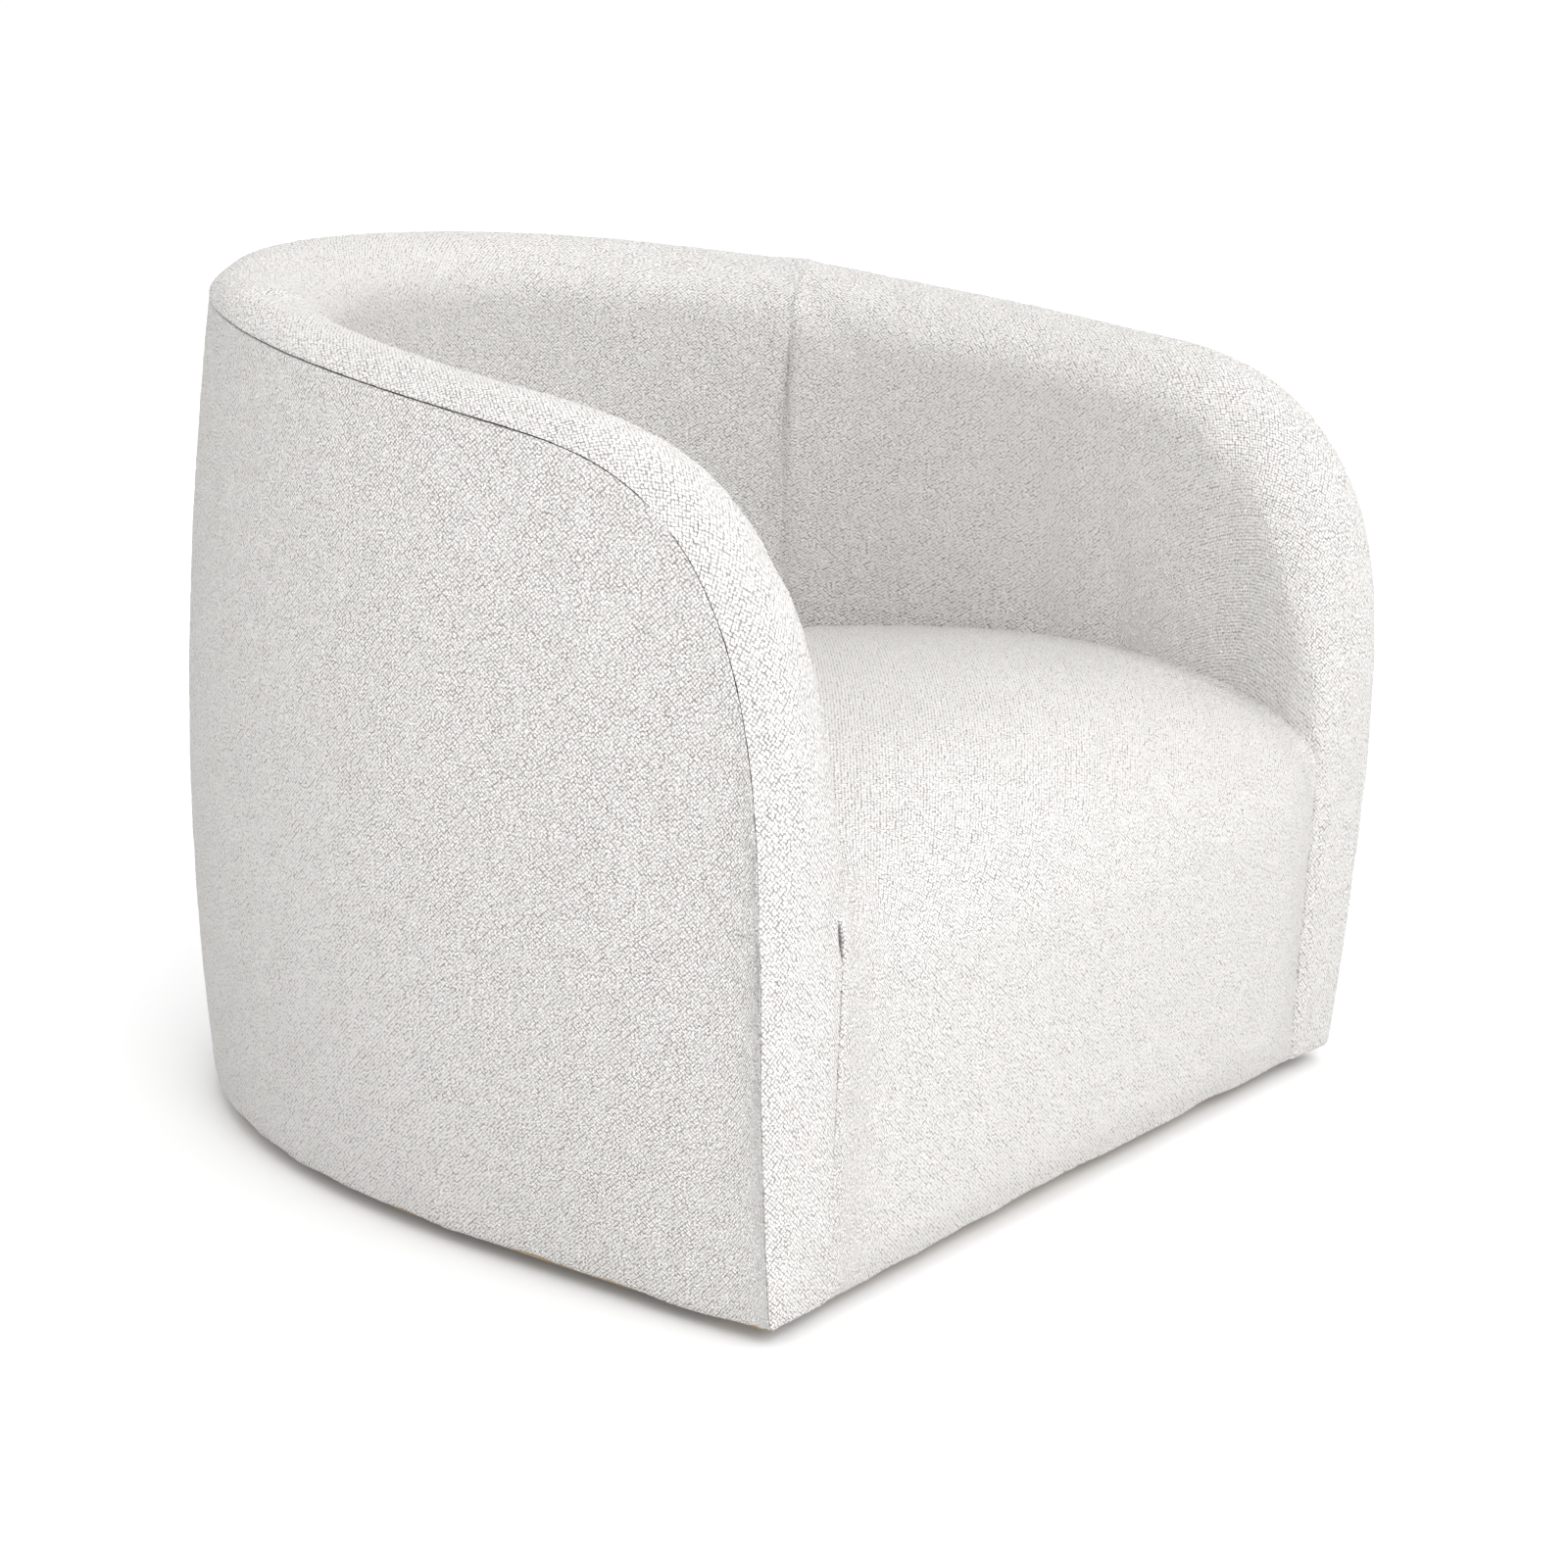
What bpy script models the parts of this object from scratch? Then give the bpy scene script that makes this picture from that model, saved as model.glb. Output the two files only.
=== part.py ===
"""Upholstered tub armchair on a hidden swivel base.

A D-shaped chair shell of boards and curved rails is padded with foam and covered with looped fabric.
The whole upper part turns on a ball-bearing plate over a round base board with four glides.
+Z is up, the front of the chair faces -Y, and the origin is on the floor under the middle of the chair.
"""
import bpy
import bmesh
import math
from mathutils import Matrix, Vector

# ------------------------------------------------------------------ driving dimensions (metres)
GAP = 0.0003                # running gap between neighbouring solids
HEIGHT = 0.740              # height over the hem at which the leans below are given
HALF_WIDTH = 0.443          # half width where the sides are fullest
FULL_HEIGHT = 0.390         # height at which the sides are fullest
WIDEST_Y = -0.1445          # station where the plan is widest
FRONT_REACH = 0.2755        # widest station to the front hem
FRONT_LEAN = 0.038          # how far the front leans forward over the whole height
BACK_REACH = 0.591          # widest station to the back, at the hem
BACK_LEAN = 0.141           # share of the back reach lost at the top
SIDE_TUCK = 0.067           # share of the half width lost at the hem
SIDE_LEAN = 0.041           # share of the half width lost at the top
BACK_ROUND = 2.2            # superellipse exponent of the plan behind the widest station
SIDE_ROUND = 2.775          # the same in front of it
SIDE_LENGTH = 0.813         # half axis of the front superellipse
FRONT_SHARE = 0.30          # share of the wall parameter that lies in front of the widest station

HEM = 0.014                 # underside of the covers
TURN_HEIGHT = 0.271         # the arm front is straight up to here
TURN_Y = -0.2010            # the rounded arm front meets the sloping arm top here
TURN_ROUND = 3.15           # superellipse exponent of the rounded arm front
SEAM_BACK = 0.7305          # height of the outer seam at the back
SEAM_SLOPE = 0.154          # fall of the seam towards the front
WALL = 0.098                # thickness of the padded wall
BACK_SWELL = 0.040          # extra thickness of the back just over the seat
INNER_X = 0.334             # inner face of the arms at the front
ROLL_CREST = 0.037          # crest of the roll over the line between its two edges
FRONT_CREST = 0.010         # the same on the arm front
ROLL_TILT = 0.028           # the roll's inner edge lies this much lower than its outer one
EDGE_TILT = 0.004           # the same on the arm front
ROLL_LOW, ROLL_FULL = 0.300, 0.514  # heights between which the arm front becomes the full roll
SWELL_LOW, SWELL_HIGH = 0.314, 0.694    # heights between which the back swell dies out
SWELL_FROM, SWELL_TO = 0.45, 0.95   # and where it grows along the wall parameter
ROLL_FULLNESS = 0.9         # under 1 the roll's section is fuller than a sine
SIDE_SEAM = 0.45            # wall parameter of the inside seam between the arm and the back
REAR_SEAM = 0.20            # the same of the outside seam between the side and the back
TUCK_Z = 0.299              # lower edge of the inside padding, tucked behind the seat

COVER = 0.0025              # looped fabric
FOAM = 0.020                # padding of the wall
FOAM_DEPTH = 0.0032         # the padding starts this far under the cover's face
LINER = 0.003               # fibre board behind the outside covers

SEAT_TOP = 0.380            # seat surface
SEAT_TURN = 0.282           # the seat front is straight up to here
SEAT_RADIUS = 0.200         # length of the rounded front edge of the seat
SEAT_UNDER = 0.281          # underside of the seat foam
SEAT_X = 0.3305             # half width of the seat foam
APRON = 0.020               # foam on the seat front

GLIDE_H, GLIDE_R, GLIDE_AT = 0.004, 0.019, 0.232
BASE_R, BASE_T = 0.262, 0.0176
PLATE_T = 0.002
RACE_R, BALL_R, BALLS = 0.110, 0.0044, 10
PLATE_IN, PLATE_OUT = 0.050, 0.145
BOARD_T = 0.018             # bottom rails
CROSS_T, CROSS_W, CROSS_Y = 0.022, 0.080, 0.090
SCREW_R, SCREW_HEAD_R, SCREW_HEAD_T, SCREW_LEN = 0.0024, 0.0048, 0.0022, 0.014
LOWER_SCREW_AT = 0.055      # lower plate screws, in x and in y
UPPER_SCREW_AT = 0.090      # upper plate screws, in x and in y
SPRINGS = (-0.195, -0.065, 0.065, 0.195)    # stations of the springs across the seat
WIRE_R = 0.0019
RAIL_TOP = 0.259            # top of the seat rails
REAR_RAIL_Y = 0.190

# stack of the swivel, bottom to top
BASE_Z = GLIDE_H + GAP
LOWER_Z = BASE_Z + BASE_T + GAP
BALL_Z = LOWER_Z + PLATE_T + GAP + BALL_R
UPPER_Z = BALL_Z + BALL_R + GAP
CROSS_Z = UPPER_Z + PLATE_T + GAP
RAIL_Z = CROSS_Z - GAP - BOARD_T

for old in list(bpy.data.objects):
    bpy.data.objects.remove(old, do_unlink=True)

parts = bpy.data.collections.new("tub_armchair")
cutters = bpy.data.collections.new("cutters")
bpy.context.scene.collection.children.link(parts)
bpy.context.scene.collection.children.link(cutters)
base_axis = bpy.data.objects.new("base_origin", None)
cage_axis = bpy.data.objects.new("cage_axis", None)
turn_axis = bpy.data.objects.new("swivel_axis", None)
for axis_empty in (base_axis, cage_axis, turn_axis):
    parts.objects.link(axis_empty)

# ------------------------------------------------------------------ materials and objects
FABRIC = ((0.80, 0.77, 0.72), 0.95, 0.0)
WOOD = ((0.62, 0.45, 0.28), 0.6, 0.0)
PLYWOOD = ((0.70, 0.55, 0.36), 0.6, 0.0)
FOAMED = ((0.86, 0.82, 0.62), 0.9, 0.0)
STEEL = ((0.55, 0.56, 0.58), 0.35, 1.0)
BLACK = ((0.03, 0.03, 0.03), 0.8, 0.0)
BOARD = ((0.50, 0.40, 0.28), 0.9, 0.0)


def finish(obj, look, parent=turn_axis):
    """Give the object its own material, its collection and its parent."""
    colour, roughness, metallic = look
    mat = bpy.data.materials.new(obj.name)
    mat.use_nodes = True
    shader = mat.node_tree.nodes["Principled BSDF"]
    shader.inputs["Base Color"].default_value = (*colour, 1.0)
    shader.inputs["Roughness"].default_value = roughness
    shader.inputs["Metallic"].default_value = metallic
    obj.data.materials.clear()
    obj.data.materials.append(mat)
    for owner in list(obj.users_collection):
        owner.objects.unlink(obj)
    parts.objects.link(obj)
    obj.parent = parent
    return obj


def smooth(obj, angle=0.7):
    obj.data.shade_smooth()
    obj.data.set_sharp_from_angle(angle=angle)


def box(name, size, centre, look, parent=turn_axis, bevel=0.0):
    bpy.ops.mesh.primitive_cube_add(size=1.0, location=centre)
    obj = bpy.context.object
    obj.name = name
    obj.data.transform(Matrix.Diagonal((*size, 1.0)))
    if bevel:
        mod = obj.modifiers.new("rounded edges", "BEVEL")
        mod.width = bevel
        mod.segments = 1
    return finish(obj, look, parent)


def turned(name, profile, look, parent, centre=(0.0, 0.0), steps=32):
    """A turned piece: the profile (radius, height) runs down its outer side."""
    mesh = bpy.data.meshes.new(name)
    shape = bmesh.new()
    ring = [shape.verts.new((r, 0.0, z)) for r, z in profile]
    for first, second in zip(ring, ring[1:]):
        shape.edges.new((first, second))
    if profile[0][0] > 0.0:
        shape.edges.new((ring[-1], ring[0]))
    shape.to_mesh(mesh)
    shape.free()
    obj = bpy.data.objects.new(name, mesh)
    bpy.context.scene.collection.objects.link(obj)
    obj.location = (*centre, 0.0)
    mod = obj.modifiers.new("turn", "SCREW")
    mod.steps = steps
    mod.render_steps = steps
    mod.use_merge_vertices = True
    mod.merge_threshold = 0.00001
    mod.use_smooth_shade = True
    return finish(obj, look, parent)


def outline_curve(name, loops, thickness):
    """A flat board from closed outlines, lying in X and Y, centred on Z = 0."""
    curve = bpy.data.curves.new(name, "CURVE")
    curve.dimensions = "2D"
    curve.fill_mode = "BOTH"
    curve.extrude = thickness / 2
    for loop in loops:
        spline = curve.splines.new("POLY")
        spline.points.add(len(loop) - 1)
        for point, (x, y) in zip(spline.points, loop):
            point.co = (x, y, 0.0, 1.0)
        spline.use_cyclic_u = True
    obj = bpy.data.objects.new(name, curve)
    bpy.context.scene.collection.objects.link(obj)
    return obj


def as_mesh(obj):
    """Turn a curve into a welded mesh that booleans can take."""
    name = obj.name
    bpy.context.view_layer.update()
    mesh = bpy.data.meshes.new_from_object(obj.evaluated_get(bpy.context.evaluated_depsgraph_get()))
    place = obj.matrix_world.copy()
    bpy.data.objects.remove(obj, do_unlink=True)
    shape = bmesh.new()
    shape.from_mesh(mesh)
    bmesh.ops.remove_doubles(shape, verts=shape.verts, dist=0.00001)
    bmesh.ops.recalc_face_normals(shape, faces=shape.faces)
    shape.to_mesh(mesh)
    shape.free()
    solid = bpy.data.objects.new(name, mesh)
    solid.matrix_world = place
    bpy.context.scene.collection.objects.link(solid)
    return solid


def flat_board(name, loops, thickness, z_low, look, parent=turn_axis):
    board = outline_curve(name, loops, thickness)
    board.location = (0.0, 0.0, z_low + thickness / 2)
    board = as_mesh(board)
    return finish(board, look, parent)


def side_board(name, loop, thickness, x_mid, look, parent=turn_axis):
    """A board standing in Y and Z, cut to a side outline, thickness along X."""
    board = outline_curve(name, [loop], thickness)
    board.matrix_world = Matrix(((0, 0, 1, x_mid), (1, 0, 0, 0), (0, 1, 0, 0), (0, 0, 0, 1)))
    board = as_mesh(board)
    return finish(board, look, parent)


def boolean(obj, cutter, operation="DIFFERENCE"):
    mod = obj.modifiers.new(operation.lower(), "BOOLEAN")
    mod.operation = operation
    mod.object = cutter
    cutter.hide_render = True
    cutter.display_type = "WIRE"
    for owner in list(cutter.users_collection):
        owner.objects.unlink(cutter)
    cutters.objects.link(cutter)


def drill(obj, places, radius, z_low, z_high):
    """Round holes along Z, all cut by one cutter of separate pegs."""
    mesh = bpy.data.meshes.new(obj.name + "_pegs")
    shape = bmesh.new()
    for x, y in places:
        peg = Matrix.Translation((x, y, (z_low + z_high) / 2))
        bmesh.ops.create_cone(shape, cap_ends=True, segments=12, radius1=radius, radius2=radius,
                              depth=z_high - z_low, matrix=peg)
    shape.to_mesh(mesh)
    shape.free()
    cutter = bpy.data.objects.new(mesh.name, mesh)
    bpy.context.scene.collection.objects.link(cutter)
    boolean(obj, cutter)


def blend(low, high, value):
    t = min(max((value - low) / (high - low), 0.0), 1.0)
    return t * t * (3.0 - 2.0 * t)


# ------------------------------------------------------------------ the chair's outer form
def side_reach(z):
    if z < FULL_HEIGHT:
        return HALF_WIDTH * (1.0 - SIDE_TUCK * ((FULL_HEIGHT - z) / (FULL_HEIGHT - HEM)) ** 2)
    return HALF_WIDTH * (1.0 - SIDE_LEAN * ((z - FULL_HEIGHT) / (HEM + HEIGHT - FULL_HEIGHT)) ** 2)


def back_reach(z):
    return BACK_REACH * (1.0 - BACK_LEAN * ((z - HEM) / HEIGHT) ** 2)


def front_reach(z):
    return FRONT_REACH + FRONT_LEAN * (z - HEM) / HEIGHT


def outline(tau, z):
    """Right-hand outline at height z: tau 0 is the front corner, 1 the middle of the back."""
    if tau < FRONT_SHARE:
        y = -front_reach(z) * (1.0 - tau / FRONT_SHARE)
        x = side_reach(z) * (1.0 - (abs(y) / SIDE_LENGTH) ** SIDE_ROUND) ** (1.0 / SIDE_ROUND)
        return x, WIDEST_Y + y
    turn = (tau - FRONT_SHARE) / (1.0 - FRONT_SHARE) * math.pi / 2
    x = side_reach(z) * max(math.cos(turn), 0.0) ** (2.0 / BACK_ROUND)
    y = back_reach(z) * math.sin(turn) ** (2.0 / BACK_ROUND)
    return x, WIDEST_Y + y


def inward(tau, z):
    """Horizontal direction into the wall, square to it; straight sideways at the front corner."""
    step = 0.004
    x0, y0 = outline(max(tau - step, 0.0), z)
    x1, y1 = outline(min(tau + step, 1.0), z)
    if tau + step > 1.0:
        return Vector((0.0, -1.0, 0.0))
    normal = Vector((-(y1 - y0), x1 - x0, 0.0)).normalized()
    share = blend(0.0, FRONT_SHARE * 0.7, tau)
    return (normal * share + Vector((-1.0, 0.0, 0.0)) * (1.0 - share)).normalized()


def wall(w, z, depth):
    """Point of the wall: w runs -1 (left front) .. 0 (back) .. 1 (right front)."""
    tau = 1.0 - abs(w)
    x, y = outline(tau, z)
    point = Vector((x, y, z)) + inward(tau, z) * depth
    if w < 0.0:
        point.x = -point.x
    return point


def thickness(w, z):
    tau = 1.0 - abs(w)
    front = outline(0.0, min(z, TURN_HEIGHT))[0] - INNER_X
    swell = BACK_SWELL * blend(SWELL_FROM, SWELL_TO, tau) * (1.0 - blend(SWELL_LOW, SWELL_HIGH, z))
    return front + (WALL - front) * blend(0.0, FRONT_SHARE, tau) + swell


def seam_height(y):
    return SEAM_BACK - SEAM_SLOPE * (WIDEST_Y + BACK_REACH - y)


def tau_at(y, z):
    reach = y - WIDEST_Y
    if reach < 0.0:
        return FRONT_SHARE * (1.0 + reach / front_reach(z))
    turn = math.asin(min((reach / back_reach(z)) ** (BACK_ROUND / 2.0), 1.0))
    return FRONT_SHARE + (1.0 - FRONT_SHARE) * turn / (math.pi / 2)


def seam_at_tau(tau):
    z = SEAM_BACK
    for _ in range(4):
        z = seam_height(outline(tau, z)[1])
    return z


def rim_station(s, seam=SIDE_SEAM):
    """Outer seam: s 0..1 up the arm front, 1..2 round the turn, 2..3 back to the given seam."""
    if s <= 1.0:
        return 0.0, HEM + (TURN_HEIGHT - HEM) * s
    if s <= 2.0:
        angle = (s - 1.0) * math.pi / 2
        front = WIDEST_Y - front_reach(TURN_HEIGHT)
        y = TURN_Y + (front - TURN_Y) * max(math.cos(angle), 0.0) ** (2.0 / TURN_ROUND)
        rise = seam_height(y) - TURN_HEIGHT
        z = TURN_HEIGHT + rise * math.sin(angle) ** (2.0 / TURN_ROUND)
        return max(tau_at(y, z), 0.0), z
    tau = TURN_TAU + (1.0 - seam - TURN_TAU) * (s - 2.0)
    return tau, seam_at_tau(tau)


TURN_TAU = tau_at(TURN_Y, seam_height(TURN_Y))


def spread(u, counts, first):
    """Station of the rim at share u, with the given number of columns in each unit of it."""
    at = u * sum(counts)
    for unit, count in enumerate(counts):
        if at <= count:
            return first + unit + at / count
        at -= count
    return float(first + len(counts))


def rim_outward(w_of, z_of, s):
    """Direction across the rim, away from the panel, at station s."""
    step = 0.01
    before = wall(w_of(s - step), z_of(s - step), 0.0)
    after = wall(w_of(s + step), z_of(s + step), 0.0)
    into = wall(w_of(s), z_of(s), 0.01) - wall(w_of(s), z_of(s), 0.0)
    out = (after - before).cross(into).normalized()
    if out.z - 0.5 * out.y < 0.0:
        out.negate()
    return out


def layer(name, columns, rows, place, under, depth, look):
    """A closed sheet lofted between the surface at under and the one at under + depth."""
    mesh = bpy.data.meshes.new(name)
    shape = bmesh.new()
    for level in (under, under + depth):
        grid = bmesh.ops.create_grid(shape, x_segments=columns, y_segments=rows, size=0.5)
        for vert in grid["verts"]:
            vert.co = place(vert.co.x + 0.5, vert.co.y + 0.5, level)
    shape.verts.ensure_lookup_table()
    count = len(shape.verts) // 2
    border = [edge for edge in shape.edges if edge.is_boundary and edge.verts[0].index < count]
    for edge in border:
        a, b = edge.verts
        shape.faces.new((a, b, shape.verts[b.index + count], shape.verts[a.index + count]))
    bmesh.ops.recalc_face_normals(shape, faces=shape.faces)
    shape.to_mesh(mesh)
    shape.free()
    obj = bpy.data.objects.new(name, mesh)
    bpy.context.scene.collection.objects.link(obj)
    smooth(obj, 1.0)
    return finish(obj, look)


# ------------------------------------------------------------------ inside padding and covers
FLANGE_TAU = 0.050          # the arm front's padding turns back this far behind the seat
FOOT_TAU = 0.20             # foot of the inside padding under the turn of the arm
ARM_COLUMNS = (4, 7, 7)     # columns up the arm front, round its turn and along its top
BACK_COLUMNS, INSIDE_ROWS = 14, 10
RIM_SHARE = 0.60            # share of the rows that go round the rim


def inside_point(w_of, z_of, w_foot, z_foot, s, v, under):
    """v 0..RIM_SHARE goes over the rim from the outer seam, then down the inner face."""
    w, z = w_of(s), z_of(s)
    out = rim_outward(w_of, z_of, s)
    crest = FRONT_CREST + (ROLL_CREST - FRONT_CREST) * blend(TURN_HEIGHT, ROLL_FULL, z)
    tilt = ROLL_TILT * blend(ROLL_LOW, ROLL_FULL, z) + EDGE_TILT
    full = thickness(w, z)
    if v <= RIM_SHARE:
        angle = v / RIM_SHARE * math.pi
        part = (1.0 - math.cos(angle)) / 2
        across = under + (full - 2 * under) * part
        rise = (crest - under) * max(math.sin(angle), 0.0) ** ROLL_FULLNESS - tilt * part
        return wall(w, z, across) + out * rise
    down = (v - RIM_SHARE) / (1.0 - RIM_SHARE)
    w1 = w + (w_foot(s) - w) * down
    z1 = z + (z_foot(s) - z) * down
    return wall(w1, z1, thickness(w1, z1) - under) - out * tilt * (1.0 - down)


def arm_layer(name, side, under, depth, look, stop):
    """Inside arm layer, from the hem in front to the side seam."""
    def w_of(s):
        return side * (1.0 - rim_station(min(max(s, 0.0), 3.0))[0])

    def z_of(s):
        return rim_station(min(max(s, 0.0), 3.0))[1]

    def w_foot(s):
        if s <= 1.0:
            tau = FLANGE_TAU
        elif s <= 2.0:
            tau = FLANGE_TAU + (FOOT_TAU - FLANGE_TAU) * (s - 1.0)
        else:
            tau = FOOT_TAU + (1.0 - SIDE_SEAM - FOOT_TAU) * (s - 2.0)
        return side * (1.0 - tau)

    def z_foot(s):
        return min(z_of(s), TURN_HEIGHT + (TUCK_Z - TURN_HEIGHT) * min(max(s - 1.0, 0.0), 1.0))

    def place(u, v, level):
        s = min(spread(u, ARM_COLUMNS, 0), stop)
        return inside_point(w_of, z_of, w_foot, z_foot, s, v, level)

    layer(name, sum(ARM_COLUMNS), INSIDE_ROWS, place, under, depth, look)


def back_layer(name, under, depth, look, reach):
    def w_of(s):
        return s

    def z_of(s):
        return seam_at_tau(1.0 - abs(s))

    def z_foot(s):
        return TUCK_Z

    def place(u, v, level):
        s = (u - 0.5) * 2.0 * reach
        return inside_point(w_of, z_of, w_of, z_foot, s, v, level)

    layer(name, BACK_COLUMNS, INSIDE_ROWS, place, under, depth, look)


SEAM_GAP_W = 0.0015         # half gap between panels at the side seam, in wall parameter
for side, word in ((1, "right"), (-1, "left")):
    arm_layer("inside_cover_" + word, side, 0.0, COVER, FABRIC, 3.0 - SEAM_GAP_W * 6)
    arm_layer("inside_foam_" + word, side, FOAM_DEPTH, FOAM, FOAMED, 3.0 - SEAM_GAP_W * 6)
back_layer("inside_cover_back", 0.0, COVER, FABRIC, SIDE_SEAM - SEAM_GAP_W)
back_layer("inside_foam_back", FOAM_DEPTH, FOAM, FOAMED, SIDE_SEAM - SEAM_GAP_W)


# ------------------------------------------------------------------ outside covers and liners
SIDE_COLUMNS = (7, 10)      # columns round the turn of the arm and along its top
REAR_COLUMNS, OUTSIDE_ROWS = 6, 5
SEAM_DROP = 0.0012          # the outside panels stop this far under the seam
LINER_GAP = 0.0005          # between the cover and the board behind it


def outside_layer(name, side, under, depth, look, low, drop):
    """Outside panel from the hem to drop short of the outer seam; side 0 is the back."""
    def arm_w(s):
        return side * (1.0 - rim_station(min(max(s, 0.0), 3.0), REAR_SEAM)[0])

    def arm_z(s):
        return rim_station(min(max(s, 0.0), 3.0), REAR_SEAM)[1]

    def place(u, v, level):
        if side == 0:
            w = (u - 0.5) * 2.0 * (REAR_SEAM - SEAM_GAP_W)
            top = seam_at_tau(1.0 - abs(w)) - drop
            return wall(w, low + (top - low) * v, level)
        s = min(spread(u, SIDE_COLUMNS, 1), 3.0 - SEAM_GAP_W * 4)
        back_off = rim_outward(arm_w, arm_z, s) * drop * max(v, 1.0 - u * 5.0)
        return wall(arm_w(s), low + (arm_z(s) - low) * v, level) - back_off

    columns = REAR_COLUMNS if side == 0 else sum(SIDE_COLUMNS)
    layer(name, columns, OUTSIDE_ROWS, place, under, depth, look)


for side, word in ((1, "right"), (-1, "left"), (0, "back")):
    outside_layer("outside_cover_" + word, side, 0.0, COVER, FABRIC, HEM, SEAM_DROP)
    outside_layer("outside_liner_" + word, side, COVER + LINER_GAP, LINER, BOARD, HEM, SEAM_DROP)

# ------------------------------------------------------------------ seat
def seat_front(z):
    return WIDEST_Y - front_reach(z)


def seat_profile(v, under):
    """Seat surface in Y and Z: v 0..1 up the front, 1..2 round the edge, 2..3 over the top."""
    top = SEAT_TOP - under
    if v <= 1.0:
        z = HEM + 0.0005 + (SEAT_TURN - HEM - 0.0005) * v
        return seat_front(z) + under, z
    front = seat_front(SEAT_TURN) + under
    if v <= 2.0:
        angle = (v - 1.0) * math.pi / 2
        y = front + (SEAT_RADIUS - under) * (1.0 - math.cos(angle))
        return y, SEAT_TURN + (top - SEAT_TURN) * math.sin(angle)
    return front + SEAT_RADIUS - under, top


def well_outline(z, extra, count):
    """Plan of the well from the right front corner round the back to the left one."""
    line = []
    for i in range(count + 1):
        w = 1.0 - 2.0 * i / count
        point = wall(w, z, thickness(w, z) + extra)
        line.append((min(max(point.x, -SEAT_X), SEAT_X), point.y))
    return line


WELL_Z, WELL_EXTRA = 0.354, 0.0080  # height of the seat's plan, and its gap to the padding
SEAT_PLAN_FRONT, SEAT_PLAN_REAR = -0.50, 0.45   # the plan tool reaches past the foam at both ends
plan_front = [(side * SEAT_X, SEAT_PLAN_FRONT) for side in (1, -1)]
seat_plan = plan_front[:1] + well_outline(WELL_Z, WELL_EXTRA, 24)[3:-3] + plan_front[1:]
seat_loop = [seat_profile(i / 5, FOAM_DEPTH) for i in range(0, 11)]
seat_loop += [(SEAT_PLAN_REAR, SEAT_TOP - FOAM_DEPTH), (SEAT_PLAN_REAR, SEAT_UNDER)]
seat_loop += [(seat_front(SEAT_UNDER) + FOAM_DEPTH + APRON, SEAT_UNDER),
              (seat_front(HEM) + FOAM_DEPTH + APRON, HEM + 0.0005)]
foam = side_board("seat_foam", seat_loop, 1.0, 0.0, FOAMED)
plan_tool = outline_curve("seat_plan", [seat_plan], 1.0)
plan_tool = as_mesh(plan_tool)
boolean(foam, plan_tool, "INTERSECT")


def seat_cover_point(u, v, level):
    """Seat cover: columns run front to back, each ending at the well's rear outline."""
    x = (u - 0.5) * 2.0 * SEAT_X
    if v <= 2.0 / 3.0 + 1e-6:
        y, z = seat_profile(3.0 * v, level)
        return Vector((x, y, z))
    y0, z0 = seat_profile(2.0, level)
    return Vector((x, y0 + (seat_rear(abs(x)) - y0) * (3.0 * v - 2.0), z0))


rear_line = [(x, y) for x, y in well_outline(WELL_Z, WELL_EXTRA, 200) if x >= 0.0 and y > WIDEST_Y]


def seat_rear(x):
    """Rear limit of the seat cover at x."""
    x = min(x, SEAT_X - 0.004)
    for (xa, ya), (xb, yb) in zip(rear_line, rear_line[1:]):
        if xb <= x <= xa and xa > xb:
            return ya + (yb - ya) * (xa - x) / (xa - xb)
    return rear_line[-1][1]


layer("seat_cover", 14, 15, seat_cover_point, 0.0, COVER, FABRIC)

# ------------------------------------------------------------------ bottom rails and cross members
RAIL_OUT, RAIL_IN = 0.009, 0.068    # depth of the bottom rails' edges under the outside face


def rail_arc(w0, w1, z, depth, count):
    line = []
    for i in range(count + 1):
        point = wall(w0 + (w1 - w0) * i / count, z, depth)
        line.append((point.x, point.y))
    return line


RAIL_SPLIT = 0.36           # wall parameter where side and back bottom rails butt
FRONT_RAIL_TAU = 0.105      # the side rails start here, behind the front rail
rear_loop = rail_arc(-RAIL_SPLIT, RAIL_SPLIT, HEM, RAIL_OUT, 14)
rear_loop += rail_arc(RAIL_SPLIT, -RAIL_SPLIT, HEM, RAIL_IN, 14)
flat_board("bottom_rail_back", [rear_loop], BOARD_T, RAIL_Z, PLYWOOD)
for side, word in ((1, "right"), (-1, "left")):
    start = side * (1.0 - FRONT_RAIL_TAU)
    end = side * (RAIL_SPLIT + 0.002)
    loop = rail_arc(start, end, HEM, RAIL_OUT, 10) + rail_arc(end, start, HEM, RAIL_IN, 10)
    flat_board("bottom_rail_" + word, [loop], BOARD_T, RAIL_Z, PLYWOOD)
FRONT_BOARD_T = 0.022
front_board_y = seat_front(HEM) + FOAM_DEPTH + APRON + 0.0010
rail_front_y = front_board_y + FRONT_BOARD_T + GAP
rail_joint_y = min(wall(1.0 - FRONT_RAIL_TAU, HEM, d).y for d in (RAIL_OUT, RAIL_IN)) - 0.0005
front_x = wall(1.0, HEM, RAIL_OUT).x
flat_board("bottom_rail_front",
           [[(-front_x, rail_front_y), (front_x, rail_front_y), (front_x, rail_joint_y),
             (-front_x, rail_joint_y)]], BOARD_T, RAIL_Z, PLYWOOD)
CROSS_HALF = 0.366
upper_holes = [(sx * UPPER_SCREW_AT, sy * UPPER_SCREW_AT) for sx in (-1, 1) for sy in (-1, 1)]
lower_holes = [(sx * LOWER_SCREW_AT, sy * LOWER_SCREW_AT) for sx in (-1, 1) for sy in (-1, 1)]
CROSS_LIFT = RAIL_Z + BOARD_T + GAP
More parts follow.
